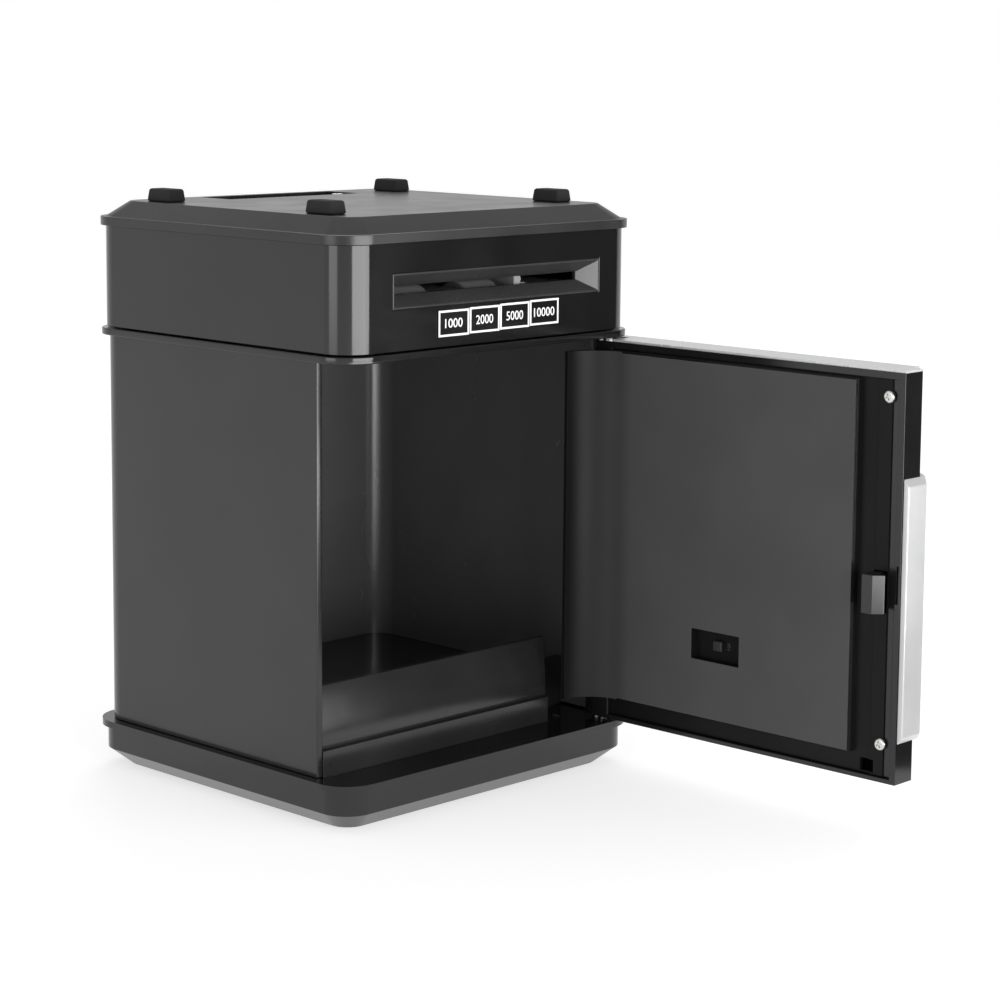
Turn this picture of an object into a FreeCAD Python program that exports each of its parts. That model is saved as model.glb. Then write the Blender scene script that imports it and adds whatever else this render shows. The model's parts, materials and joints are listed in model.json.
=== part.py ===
"""Toy cash-machine money bank: an upright box with a hinged front door, drawn with the door open.

Millimetres, +Z up. The origin is the centre of the underside of the base, the front faces -Y
and the door's hinge is on the +X side. The door and all it carries are drawn shut and then
turned open about the hinge, so their places follow the closed fit.
"""
import FreeCAD, Part
import math
import os

# ---- overall sizes ----
head_width = 129.5
head_depth = 123.5
top_height = 190.0
corner_radius = 10.0
wall = 2.4

# ---- base ----
base_height = 15.8
base_overhang = 0.8
base_bevel_in = 6.7
base_bevel_high = 5.8
base_floor = 2.6
rim_out = 1.9
rim_high = 2.2
deck_drop = 0.5
deck_thick = 2.4
post_radius = 4.0
screw_radius = 1.5
screw_head_radius = 2.8
screw_head_high = 2.0
screw_inset = 17.0
screw_play = 0.2

# ---- head and lid ----
head_high = 44.0
mid_rib_high = 2.3
mid_rib_out = 1.7
seam = 0.3
lid_high = 7.9
lid_rib_high = 2.9
lid_bevel_in = 6.7
lid_thick = 3.6
lid_rebate = 1.0
body_inset = 0.7

# ---- door opening and hinge ----
door_recess = 13.35
wall_gap = 0.4
door_gap_bottom = 0.9
door_gap_top = 1.3
door_side_inset = 0.5
hinge_from_side = 4.6
hinge_from_front = 6.55
open_angle = 91.25
barrel_radius = 6.4
pin_radius = 1.9
pin_play = 0.06
pin_in_door = 7.0
guard_play = 0.7

# ---- door ----
frame_thick = 9.1
frame_skin = 2.0
rim_width = 2.2
rim_low = 1.5
barrel_clear = 1.0
boss_radius = 3.0
drill_radius = 1.1
pin_end = 0.5
flange_drop = 1.5
flange_thick = 1.6
cover_proud = 1.5
cover_inset_free = 16.8
cover_inset_top = 2.9
cover_inset_bottom = 7.8
cover_skin = 1.4
cover_edge = 1.2
cover_rim_drop = 1.2
cover_rim_lean = 0.5
cover_screw_from_free = 6.2
cover_screw_low = 12.0
cover_screw_down = 7.7
cover_pan_head = 2.0
cover_pan_high = 1.1
cover_hole = 1.2
ridge_near = 5.3
ridge_far = 10.15
ridge_high = 0.5
nook_near = 8.9
nook_far = 14.2
nook_low = 2.3
nook_high = 6.3
guard_radius = 12.4
guard_wall_gap = 0.45
fascia_skin = 1.8
fascia_rim = 2.5
fascia_end = 4.0
fascia_side = 2.2
fascia_z_inset = 1.2
fascia_bevel = 1.5
fascia_lip = 0.7
fascia_lip_short = 0.5
grip_proud = 2.0
grip_bottom = 12.8
grip_top_inset = 32.3
grip_end_slope = 2.2
grip_in_y = 0.3
grip_side_far = 0.9
grip_lap = 3.9
grip_lap_flat = 0.9
grip_front_gap = 0.2

# ---- latch ----
bolt_above = 53.7
bolt_long = 12.2
bolt_lift = 2.4
bolt_tall = 3.1
bolt_tip = 3.8
bolt_ramp = 2.8
bolt_back = 10.5
bolt_stem = 2.4
bolt_play = 0.4
bolt_throw = 2.2
bolt_nose = 0.4
foot_long = 6.0
foot_thick = 1.6
foot_drop = 3.0
strike_below = 6.4
strike_over = 14.4
strike_web = 1.8
strike_deep = 1.6
strike_long = 8.2
nick_web = 0.9
nick_deep = 2.5
nick_low = 3.2
nick_over = 2.6
solenoid_from_bolt = 18.0
solenoid_long = 17.0
solenoid_half = 7.0
solenoid_rod = 1.6
solenoid_rod_out = 4.0
spring_from_foot = 0.4
spring_long = 7.0
spring_radius = 1.4
spring_wire = 0.22
spring_turns = 6

# ---- sound switch ----
switch_near = 60.4
switch_long = 19.6
switch_above = 27.3
switch_high = 10.0
switch_floor = 1.0
switch_deep = 2.0
slit_half = 1.4
case_half_long = 6.0
case_half_high = 3.5
case_slit_half = 4.6
case_slit_deep = 2.4
knob_long = 3.6
knob_high = 3.4
knob_proud = 1.4
knob_travel = 3.0
knob_shift = 0.65
knob_gap = 0.1
tongue_inset = 0.6
tongue_half = 1.0
tongue_long = 1.2

# ---- keypad and lamps ----
key_columns = 3
key_rows = 4
key_width = 11.0
key_high = 8.0
key_pitch_x = 14.5
key_pitch_z = 11.0
key_centre_x = 0.0
key_centre_drop = 60.7
key_corner = 2.0
key_play = 0.35
key_proud = 1.2
key_travel = 0.8
key_lip = 0.9
key_lip_thick = 0.8
key_lip_gap = 0.05
key_bevel = 0.4
membrane_thick = 0.8
stack_gap = 0.15
board_thick = 1.15
board_margin = 4.0
window_half = 12.0
window_half_high = 8.0
panel_margin = 6.0
panel_deep = 0.6
lamp_count = 3
lamp_radius = 2.0
lamp_pitch = 12.0
lamp_above_keys = 14.0
lamp_proud = 0.8
lamp_play = 0.3
rib_count = 5
rib_pitch = 4.0
rib_long = 70.0
rib_wide = 1.6
rib_deep = 0.6
rib_first_above = 16.3

# ---- cash compartment ----
upstand_high = 8.6
tray_floor_high = 10.7
tray_floor_thick = 2.0
sill_back = 2.5
sill_step_high = 17.1
sill_high = 27.7
sill_lean = 3.5
sill_thick = 2.0
fit_gap = 0.2

# ---- note slot ----
slot_left = -43.0
slot_right = 41.0
slot_high = 2.6
bezel_left = -45.2
bezel_right = 47.6
bezel_below = 4.1
bezel_above = 4.3
bezel_deep = 6.0
bezel_funnel = 4.6
bezel_lip = 0.6
label_left = -26.2
label_width = 13.6
label_high = 8.2
label_above = 3.6
label_gap = 0.3
label_rise = 0.25
label_thick = 0.4
label_count = 4

# ---- note drive ----
roller_radius = 8.0
roller_spots = [(-35.7, -21.4), (-5.3, 9.8)]
roller_poke = 1.5
roller_lift = 2.9
roller_bezel_gap = 0.65
shaft_radius = 1.5
shaft_out = 3.0
shaft_end = 1.0
pinch_radius = 5.0
pinch_shaft_radius = 1.25
pinch_nip = 0.5
shaft_play = 0.06
bracket_thick = 3.0
bracket_left = -47.0
bracket_right = 14.0
bracket_bezel_gap = 0.35
bracket_behind = 8.4
bracket_above = 4.5
guide_drop = 0.6
guide_thick = 0.9
guide_behind = 3.25
guide_lip = 1.2
guide_lip_lift = 2.0
guide_play = 0.8
gear_module = 0.75
gear_teeth = 20
pinion_teeth = 10
gear_wide = 4.0
gear_gap = 1.5
gear_slack = 0.15
tooth_share = 0.36
tooth_tip = 0.8
tooth_root = 0.9
pinion_drop = 2.8
motor_long = 25.0
motor_wide = 20.0
motor_high = 15.0
motor_shaft_radius = 1.0
motor_neck = 1.5
cradle_wall = 1.6
cradle_inset = 4.0
cradle_above = 2.0
cradle_play = 0.1
drop_left = -46.0
drop_right = 44.0
drop_behind = 1.0
drop_long = 14.0

# ---- top cover, cells, pads ----
well_left = -27.0
well_right = 31.0
well_wide = 15.5
well_from_back = 9.75
well_drop = 1.1
cover_thick = 1.6
cover_ledge = 1.0
cover_side_ledge = 0.25
cover_screw_inset = 3.2
cover_screw_radius = 1.1
cover_screw_head = 2.0
cover_screw_head_high = 0.8
cover_screw_long = 6.0
cell_radius = 7.1
cell_long = 50.0
cell_cap = 2.6
cell_cap_high = 1.0
box_wall = 1.6
contact_thick = 0.5
contact_half = 4.0
cell_play = 0.3
boss_long = 4.0
pad_side_inset = 14.15
pad_front_inset = 24.55
pad_back_inset = 20.75
pad_wide = 7.2
pad_long = 11.8
pad_high = 4.2
pad_draft = 0.5

# ---- board and speaker ----
board_side_gap = 5.35
board_wide = 49.0
board_behind_drop = 6.0
board_long = 30.0
board_stand = 4.0
board_sheet = 1.6
chip_high = 1.8
crystal_high = 3.0
plug_high = 6.0
can_count = 3
can_first = 20.0
can_pitch = 7.0
can_back = 22.5
can_radius = 2.5
can_high = 7.0
pillar_radius = 2.2
pillar_inset = 3.0
speaker_side_gap = 8.35
speaker_from_board = 14.0
speaker_radius = 18.0
speaker_high = 6.0
speaker_rim = 1.6
speaker_step_in = 2.0
speaker_magnet_low = 1.4
speaker_magnet_high = 2.0

# ---- places that follow ----
half_w = head_width / 2
half_d = head_depth / 2
deck_top = base_height - deck_drop
deck_bottom = deck_top - deck_thick
head_bottom = top_height - head_high
lid_rib_bottom = top_height - lid_high
body_half_w = half_w - body_inset
body_half_d = half_d - body_inset
inner_half_w = body_half_w - wall
inner_half_d = body_half_d - wall
mid_top = head_bottom + mid_rib_high
head_low = mid_top + seam
head_inner_w = half_w - wall
head_inner_d = half_d - wall
lid_under = top_height - lid_thick
door_in_y = -half_d + door_recess
wall_front_y = door_in_y + wall_gap
door_free_x = -half_w + door_side_inset
door_hinge_x = half_w - door_side_inset
door_bottom = base_height + door_gap_bottom
door_top = head_bottom - door_gap_top
hinge_x = half_w - hinge_from_side
hinge_y = -half_d + hinge_from_front
frame_back_y = door_in_y - frame_thick
stack_thick = key_lip_thick + key_travel + stack_gap + membrane_thick + board_thick
fascia_thick = fascia_skin + stack_thick
fascia_front_y = frame_back_y - fascia_thick
flange_y = door_in_y - flange_drop
cover_y = door_in_y + cover_proud
cover_free_x = door_free_x + cover_inset_free
cover_low = door_bottom + cover_inset_bottom
cover_high = door_top - cover_inset_top
guard_tip_x = inner_half_w - guard_wall_gap
guard_centre_x = guard_tip_x - cover_skin - guard_radius
guard_centre_y = cover_y + guard_radius
guard_sweep = math.hypot(guard_tip_x - hinge_x, guard_centre_y - hinge_y) + guard_play
sill_y = wall_front_y + sill_back
upstand_top = deck_top + upstand_high
tray_floor_top = deck_top + tray_floor_high
sill_step_top = deck_top + sill_step_high
sill_top = deck_top + sill_high
bolt_low = door_bottom + bolt_above
bolt_high = bolt_low + bolt_long
strike_bottom = bolt_low - strike_below
strike_top = bolt_high + strike_over
switch_bottom = door_bottom + switch_above
key_centre_z = door_top - key_centre_drop
slot_bottom = mid_top + roller_lift + 2 * roller_radius - roller_poke
bezel_bottom = slot_bottom - bezel_below
bezel_top = slot_bottom + slot_high + bezel_above
bezel_back_y = -half_d + bezel_deep
gear_pitch_radius = gear_module * gear_teeth / 2
gear_tip_radius = gear_pitch_radius + tooth_tip * gear_module
pinion_pitch_radius = gear_module * pinion_teeth / 2
roller_y = bezel_back_y + roller_bezel_gap + max(roller_radius, gear_tip_radius)
roller_z = slot_bottom + roller_poke - roller_radius
pinch_z = roller_z + roller_radius + pinch_nip + pinch_radius
gear_x = bracket_right + bracket_thick + gear_gap
gear_centres = gear_pitch_radius + pinion_pitch_radius + gear_slack
motor_y = roller_y + math.sqrt(gear_centres ** 2 - pinion_drop ** 2)
motor_z = roller_z - pinion_drop
motor_left = gear_x + gear_wide + motor_neck
cradle_back_y = motor_y + motor_wide / 2 + cradle_wall + cradle_play
guide_back_y = cradle_back_y + guide_behind
drop_front_y = guide_back_y + drop_behind
drop_back_y = drop_front_y + drop_long
board_left = -head_inner_w + board_side_gap
board_right = board_left + board_wide
board_front = drop_back_y + board_behind_drop
board_back = board_front + board_long
speaker_x = head_inner_w - speaker_side_gap - speaker_radius
speaker_y = board_front + speaker_from_board
well_back = half_d - well_from_back
well_front = well_back - well_wide
cover_top_z = top_height - well_drop
box_floor_z = cover_top_z - cover_thick - 4 * cell_radius - 1.0
cell_y = (well_front + well_back) / 2
plunger_y = flange_y - foot_drop - foot_thick / 2
stack_front_y = fascia_front_y + fascia_skin + key_lip_thick + key_travel + stack_gap


# ---- solids ----
def vec(x, y, z):
    return FreeCAD.Vector(x, y, z)


def box(x0, x1, y0, y1, z0, z1):
    return Part.makeBox(x1 - x0, y1 - y0, z1 - z0, vec(x0, y0, z0))


def post(x, y, radius, z0, z1):
    return Part.makeCylinder(radius, z1 - z0, vec(x, y, z0))


def rod_x(radius, x0, x1, y, z):
    return Part.makeCylinder(radius, x1 - x0, vec(x0, y, z), vec(1, 0, 0))


def rod_y(radius, y0, y1, x, z):
    return Part.makeCylinder(radius, y1 - y0, vec(x, y0, z), vec(0, 1, 0))


def rounded_outline(half_x, half_y, radius, z):
    """A closed wire: a rectangle with round corners, centred on the Z axis."""
    r = radius
    arc = r * math.sqrt(0.5)
    edges = []
    corners = [(1, -1), (1, 1), (-1, 1), (-1, -1)]
    ends = []
    for sx, sy in corners:
        cx = sx * (half_x - r)
        cy = sy * (half_y - r)
        along_x = vec(cx, cy + sy * r, z)
        along_y = vec(cx + sx * r, cy, z)
        first, last = (along_x, along_y) if sx * sy < 0 else (along_y, along_x)
        middle = vec(cx + sx * arc, cy + sy * arc, z)
        ends.append((first, last))
        edges.append(Part.Arc(first, middle, last).toShape())
    for i in range(4):
        start = ends[i][1]
        stop = ends[(i + 1) % 4][0]
        edges.append(Part.LineSegment(start, stop).toShape())
    return Part.Wire(Part.__sortEdges__(edges))


def rounded_block(half_x, half_y, radius, z0, z1):
    face = Part.Face(rounded_outline(half_x, half_y, radius, z0))
    return face.extrude(vec(0, 0, z1 - z0))


def bevel_block(low, high, z0, z1):
    """A loft between two round-cornered outlines, each given as (half_x, half_y, radius)."""
    wires = [rounded_outline(*low, z0), rounded_outline(*high, z1)]
    return Part.makeLoft(wires, True, True)


def prism(points, direction):
    corners = [vec(*p) for p in points]
    wire = Part.makePolygon(corners + [corners[0]])
    return Part.Face(wire).extrude(vec(*direction))


def prism_z(points, z0, z1):
    return prism([(x, y, z0) for x, y in points], (0, 0, z1 - z0))


def prism_x(points, x0, x1):
    return prism([(x0, y, z) for y, z in points], (x1 - x0, 0, 0))


def joined(shapes):
    """The shapes fused into one solid."""
    result = shapes[0]
    if len(shapes) > 1:
        result = result.multiFuse(shapes[1:])
    return result.removeSplitter()


def cut(shape, tools):
    result = shape.cut(tools) if isinstance(tools, list) else shape.cut([tools])
    return result.removeSplitter()


def group(shapes):
    """Separate solids kept in one node."""
    return Part.makeCompound(shapes)


def screw_z(x, y, z_head, length, up):
    """A pan head screw along Z: up is +1 if its head is at the top."""
    head_low = z_head if up > 0 else z_head - screw_head_high
    head = post(x, y, screw_head_radius, head_low, head_low + screw_head_high)
    low = z_head - length if up > 0 else z_head
    return joined([head, post(x, y, screw_radius, low, low + length)])


def base_corners():
    x = half_w - screw_inset
    y = half_d - screw_inset
    return [(x, y), (-x, y), (-x, -y), (x, -y)]


# ---- base and body ----
def base_tray():
    wide = half_w + base_overhang
    deep = half_d + base_overhang
    r = corner_radius
    foot = (wide - base_bevel_in, deep - base_bevel_in, r - base_bevel_in / 2)
    outer = bevel_block(foot, (wide, deep, r), 0, base_bevel_high)
    upper = rounded_block(wide, deep, r, base_bevel_high, base_height)
    rim = rounded_block(wide + rim_out, deep + rim_out, r + rim_out, base_height - rim_high, base_height)
    hollow = rounded_block(wide - wall, deep - wall, r - wall, base_bevel_high, base_height)
    low_wide = wide - base_bevel_in
    well = rounded_block(low_wide, deep - base_bevel_in, r - base_bevel_in / 2, base_floor, base_bevel_high)
    posts = [post(x, y, post_radius, base_floor - 0.1, deck_bottom) for x, y in base_corners()]
    shell = joined([outer, upper, rim])
    shell = joined([cut(shell, [hollow, well])] + posts)
    holes = []
    for x, y in base_corners():
        holes.append(post(x, y, screw_radius, -1, deck_bottom + 1))
        holes.append(post(x, y, screw_head_radius + screw_play, -1, screw_head_high + 2 * screw_play))
    pin_room = post(hinge_x, hinge_y, pin_radius + fit_gap, deck_bottom - fit_gap, base_height + 1)
    return cut(shell, holes + [pin_room])


def base_screws():
    length = deck_top - screw_head_high - screw_play
    return group([screw_z(x, y, screw_head_high + screw_play, length, -1) for x, y in base_corners()])


def base_deck():
    wide = half_w + base_overhang - wall - fit_gap
    deep = half_d + base_overhang - wall - fit_gap
    plate = rounded_block(wide, deep, corner_radius - wall, deck_bottom, deck_top)
    holes = [post(x, y, screw_radius, 0, deck_top + 1) for x, y in base_corners()]
    holes.append(post(hinge_x, hinge_y, pin_radius, 0, deck_top + 1))
    return cut(plate, holes)


def body_shell():
    """The three-sided wall: left, back and right, open at the front."""
    outer = rounded_block(body_half_w, body_half_d, corner_radius, base_height, head_bottom)
    inner = rounded_block(inner_half_w, inner_half_d, corner_radius - wall, 0, top_height)
    front = box(-head_width, head_width, -head_depth, wall_front_y, 0, top_height)
    pocket_y = wall_front_y + strike_web
    pocket = box(-inner_half_w - strike_deep, 0, pocket_y, pocket_y + strike_long, strike_bottom, strike_top)
    return cut(outer, [inner, front, pocket])


def hinge_clearance(z0, z1):
    return post(hinge_x, hinge_y, guard_sweep, z0, z1)


def cash_tray():
    """The floor of the cash compartment, with the step and leaning sill at its front."""
    side = inner_half_w - fit_gap
    back = inner_half_d - fit_gap
    floor = rounded_block(side, back, corner_radius - wall, tray_floor_top - tray_floor_thick, tray_floor_top)
    front = box(-head_width, head_width, -head_depth, sill_y + sill_thick, 0, top_height)
    floor = cut(floor, front)
    y0 = wall_front_y
    y1 = sill_y
    t = sill_thick
    profile = [(y0, deck_top), (y0, upstand_top), (y1, upstand_top), (y1, sill_step_top)]
    profile += [(y1 + sill_lean, sill_top), (y1 + sill_lean + t, sill_top), (y1 + t, sill_step_top)]
    profile += [(y1 + t, upstand_top - t), (y0 + t, upstand_top - t), (y0 + t, deck_top)]
    sill = prism_x(profile, -side, side)
    ring = post(hinge_x, hinge_y, guard_sweep + t, deck_top, sill_step_top)
    ring = ring.common(box(0, side, y1, back, 0, top_height))
    tray = joined([floor, sill, ring])
    return cut(tray, hinge_clearance(deck_top - 1, top_height))


def mid_deck():
    """The ceiling of the cash compartment: its edge is the middle rib of the outside."""
    r = corner_radius + mid_rib_out
    plate = rounded_block(half_w + mid_rib_out, half_d + mid_rib_out, r, head_bottom, mid_top)
    drop = box(drop_left, drop_right, drop_front_y, drop_back_y, 0, top_height)
    hole = post(hinge_x, hinge_y, pin_radius, 0, top_height)
    return cut(plate, [drop, hole])


def hinge_pin(z0, z1):
    return post(hinge_x, hinge_y, pin_radius, z0, z1)


# ---- head ----
def slot_window():
    return box(bezel_left, bezel_right, -half_d - 1, bezel_back_y, bezel_bottom, bezel_top)


def head_shell():
    outer = rounded_block(half_w, half_d, corner_radius, head_low, lid_rib_bottom)
    inner = rounded_block(head_inner_w, head_inner_d, corner_radius - wall, 0, top_height)
    return cut(outer, [inner, slot_window()])


def flat_outline(x0, x1, z0, z1, y):
    return Part.makePolygon([vec(x0, y, z0), vec(x1, y, z0), vec(x1, y, z1), vec(x0, y, z1), vec(x0, y, z0)])


def slot_bezel():
    """A block whose front is a funnel down to the note slot."""
    front = -half_d
    body = box(bezel_left, bezel_right, front, bezel_back_y, bezel_bottom, bezel_top)
    lip = bezel_lip
    mouth = (bezel_left + lip, bezel_right - lip, bezel_bottom + lip, bezel_top - lip)
    slot = (slot_left, slot_right, slot_bottom, slot_bottom + slot_high)
    wires = [flat_outline(*mouth, front), flat_outline(*slot, front + bezel_funnel)]
    funnel = Part.makeLoft(wires, True, True)
    through = box(slot_left, slot_right, front + 1, bezel_back_y + 1, slot_bottom, slot_bottom + slot_high)
    return cut(body, [funnel, through])


def label_plates():
    plates = []
    for i in range(label_count):
        x = label_left + i * label_width
        z = mid_top + label_above + i * label_rise
        plates.append(box(x, x + label_width - label_gap, -half_d - label_thick, -half_d, z, z + label_high))
    return group(plates)


def top_lid():
    """The bevelled top with its rib, hollow below, and the well for the cell cover."""
    r = corner_radius
    rib_top = lid_rib_bottom + lid_rib_high
    rib = rounded_block(half_w + mid_rib_out, half_d + mid_rib_out, r + mid_rib_out, lid_rib_bottom, rib_top)
    flat = (half_w - lid_bevel_in, half_d - lid_bevel_in, r - lid_bevel_in / 2)
    crown = bevel_block((half_w, half_d, r), flat, rib_top, top_height)
    inner = rounded_block(flat[0] - lid_rebate, flat[1] - lid_rebate, flat[2], 0, lid_under)
    under = rounded_block(head_inner_w, head_inner_d, r - wall, 0, rib_top - lid_rebate)
    well = box(well_left, well_right, well_front, well_back, cover_top_z - cover_thick, top_height + 1)
    e = cover_ledge
    f = cover_side_ledge
    shaft = box(well_left + e, well_right - e, well_front + f, well_back - f, 0, top_height)
    return cut(joined([rib, crown]), [inner, under, well, shaft])


def cover_screw_place():
    return well_right - cover_screw_inset, cell_y


def cell_cover():
    g = fit_gap
    under = cover_top_z - cover_thick
    plate = box(well_left + g, well_right - g, well_front + g, well_back - g, under, cover_top_z)
    x, y = cover_screw_place()
    return cut(plate, post(x, y, cover_screw_radius, 0, top_height))


def cell_cover_screw():
    x, y = cover_screw_place()
    head = post(x, y, cover_screw_head, cover_top_z, cover_top_z + cover_screw_head_high)
    return joined([head, post(x, y, cover_screw_radius, cover_top_z - cover_screw_long, cover_top_z)])


def cell_box():
    """The open-topped case under the lid that holds the two cells, one over the other."""
    w = box_wall
    x0 = well_left + cover_ledge
    x1 = well_right - cover_ledge
    y0 = well_front + cover_side_ledge
    y1 = well_back - cover_side_ledge
    outer = box(x0 - w, x1 + w, y0 - w, y1 + w, box_floor_z - w, lid_under)
    inner = box(x0, x1, y0, y1, box_floor_z, top_height)
    x, y = cover_screw_place()
    boss_top = cover_top_z - cover_thick - fit_gap
    boss = box(x1 - boss_long, x1 + w / 2, y0 - w / 2, y1 + w / 2, box_floor_z, boss_top)
    case = joined([cut(outer, inner), boss.common(box(x0, x1 + w, y0 - w, y1 + w, 0, lid_under))])
    return cut(case, post(x, y, cover_screw_radius, 0, top_height))


def cell(level, way):
    """One cell: way is +1 where its cap points to +X."""
    z = box_floor_z + cell_radius * (1 + 2 * level) + cell_play * (level + 1)
    x0 = well_left + cover_ledge + contact_thick + cell_play
    x1 = x0 + cell_long
    if way > 0:
        body = rod_x(cell_radius, x0, x1 - cell_cap_high, cell_y, z)
        cap = rod_x(cell_cap, x1 - cell_cap_high, x1, cell_y, z)
    else:
        body = rod_x(cell_radius, x0 + cell_cap_high, x1, cell_y, z)
        cap = rod_x(cell_cap, x0, x0 + cell_cap_high, cell_y, z)
    return joined([body, cap])


def cells():
    return group([cell(0, 1), cell(1, -1)])


def cell_contacts():
    x0 = well_left + cover_ledge
    x1 = well_right - cover_ledge - boss_long
    plates = []
    for level in (0, 1):
        z = box_floor_z + cell_radius * (1 + 2 * level) + cell_play * (level + 1)
        for x in (x0, x1 - contact_thick):
            plates.append(box(x, x + contact_thick, cell_y - contact_half, cell_y + contact_half,
                              z - contact_half, z + contact_half))
    return group(plates)


def rubber_pad(x, y):
    w = pad_wide / 2
    d = pad_long / 2
    low = Part.makePolygon([vec(x - w, y - d, top_height), vec(x + w, y - d, top_height),
                            vec(x + w, y + d, top_height), vec(x - w, y + d, top_height),
                            vec(x - w, y - d, top_height)])
    w -= pad_draft
    d -= pad_draft
    z = top_height + pad_high
    high = Part.makePolygon([vec(x - w, y - d, z), vec(x + w, y - d, z), vec(x + w, y + d, z),
                             vec(x - w, y + d, z), vec(x - w, y - d, z)])
    return Part.makeLoft([low, high], True, True)


def rubber_pads():
    pad_x = half_w - pad_side_inset
    rows = (-half_d + pad_front_inset, half_d - pad_back_inset)
    places = [(sx * pad_x, y) for sx in (-1, 1) for y in rows]
    return group([rubber_pad(x, y) for x, y in places])


# ---- note drive, inside the head ----
def roller_brackets():
    plates = []
    top = pinch_z + bracket_above
    for x in (bracket_left, bracket_right):
        y0 = bezel_back_y + bracket_bezel_gap
        plate = box(x, x + bracket_thick, y0, roller_y + bracket_behind, mid_top, top)
        holes = [rod_x(shaft_radius + shaft_play, x - 1, x + bracket_thick + 1, roller_y, roller_z),
                 rod_x(pinch_shaft_radius + shaft_play, x - 1, x + bracket_thick + 1, roller_y, pinch_z)]
        plates.append(cut(plate, holes))
    return group(plates)


def drive_shaft():
    return rod_x(shaft_radius, bracket_left - shaft_out, gear_x + gear_wide + shaft_end, roller_y, roller_z)


def sleeves(radius, bore, z):
    rollers = []
    for x0, x1 in roller_spots:
        rollers.append(cut(rod_x(radius, x0, x1, roller_y, z), rod_x(bore, x0 - 1, x1 + 1, roller_y, z)))
    return group(rollers)


def feed_rollers():
    return sleeves(roller_radius, shaft_radius, roller_z)


def pinch_rollers():
    return sleeves(pinch_radius, pinch_shaft_radius, pinch_z)


def pinch_shaft():
    x1 = bracket_right + bracket_thick + shaft_end
    return rod_x(pinch_shaft_radius, bracket_left - shaft_out, x1, roller_y, pinch_z)


def toothed_wheel(teeth, bore, phase):
    """A spur wheel about the X axis at the origin, with one tooth at angle phase from +Y."""
    pitch_radius = gear_module * teeth / 2
    root = pitch_radius - tooth_root * gear_module
    tip = pitch_radius + tooth_tip * gear_module
    half = tooth_share * math.pi * gear_module / 2
    wheel = [rod_x(root, 0, gear_wide, 0, 0)]
    for i in range(teeth):
        tooth = prism_x([(root - 0.4, -half * 1.15), (tip, -half * 0.7), (tip, half * 0.7),
                         (root - 0.4, half * 1.15)], 0, gear_wide)
        tooth.rotate(vec(0, 0, 0), vec(1, 0, 0), phase + 360.0 * i / teeth)
        wheel.append(tooth)
    return cut(joined(wheel), rod_x(bore, -1, gear_wide + 1, 0, 0))


def mesh_angle():
    """The direction from the drive shaft to the motor shaft, about +X from +Y."""
    return math.degrees(math.atan2(motor_z - roller_z, motor_y - roller_y))


def drive_gear():
    wheel = toothed_wheel(gear_teeth, shaft_radius, mesh_angle())
    return wheel.translated(vec(gear_x, roller_y, roller_z))


def motor_pinion():
    gap_phase = mesh_angle() + 180.0 + 180.0 / pinion_teeth
    wheel = toothed_wheel(pinion_teeth, motor_shaft_radius, gap_phase)
    return wheel.translated(vec(gear_x, motor_y, motor_z))


def motor_shaft():
    return rod_x(motor_shaft_radius, gear_x - shaft_end, motor_left - cradle_play, motor_y, motor_z)


def drive_motor():
    can = rod_x(motor_wide / 2, motor_left, motor_left + motor_long, motor_y, motor_z)
    flats = box(motor_left, motor_left + motor_long, motor_y - motor_wide, motor_y + motor_wide,
                motor_z - motor_high / 2, motor_z + motor_high / 2)
    return can.common(flats)


def motor_cradle():
    low = motor_z - motor_high / 2
    x0 = motor_left + cradle_inset
    x1 = motor_left + motor_long - cradle_inset
    y0 = motor_y - motor_wide / 2 - cradle_wall - cradle_play
    y1 = cradle_back_y
    block = box(x0, x1, y0, y1, mid_top, motor_z + cradle_above)
    can = box(x0 - 1, x1 + 1, y0 + cradle_wall, y1 - cradle_wall, low, top_height)
    return cut(block, can)


def note_guide():
    """The shelf that carries a note over the rollers and lets it fall behind."""
    top = slot_bottom - guide_drop
    y0 = bezel_back_y + fit_gap
    y1 = guide_back_y
    plate = box(slot_left, slot_right, y0, y1, top - guide_thick, top)
    lip = box(slot_left, slot_right, y1 - guide_lip, y1, mid_top + guide_lip_lift, top - guide_thick)
    windows = []
    g = guide_play
    for x0, x1 in roller_spots:
        windows.append(box(x0 - g, x1 + g, y0 - 1, roller_y + roller_radius + g, top - 9, top + 1))
    for x in (bracket_left, bracket_right):
        windows.append(box(x - fit_gap, x + bracket_thick + fit_gap, y0 - 1, roller_y + bracket_behind + fit_gap,
                           top - 9, top + 1))
    windows.append(box(gear_x - g, gear_x + gear_wide + g, y0 - 1, motor_y + 6, top - 9, top + 1))
    return cut(joined([plate, lip]), windows)


def board_corners():
    return [(x, y) for x in (board_left + pillar_inset, board_right - pillar_inset)
            for y in (board_front + pillar_inset, board_back - pillar_inset)]


def board_pillars():
    return group([post(x, y, pillar_radius, mid_top, mid_top + board_stand) for x, y in board_corners()])


def control_board():
    z = mid_top + board_stand
    top = z + board_sheet
    plate = box(board_left, board_right, board_front, board_back, z, top)
    chip = box(board_left + 18, board_left + 30, board_front + 9, board_front + 17, top, top + chip_high)
    crystal = box(board_left + 33, board_left + 43, board_front + 11, board_front + 15, top, top + crystal_high)
    plug = box(board_left + 6, board_left + 12, board_front + 8, board_front + 22, top, top + plug_high)
    can_x = [board_left + can_first + can_pitch * i for i in range(can_count)]
    cans = [post(x, board_front + can_back, can_radius, top, top + can_high) for x in can_x]
    return joined([plate, chip, crystal, plug] + cans)


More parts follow.
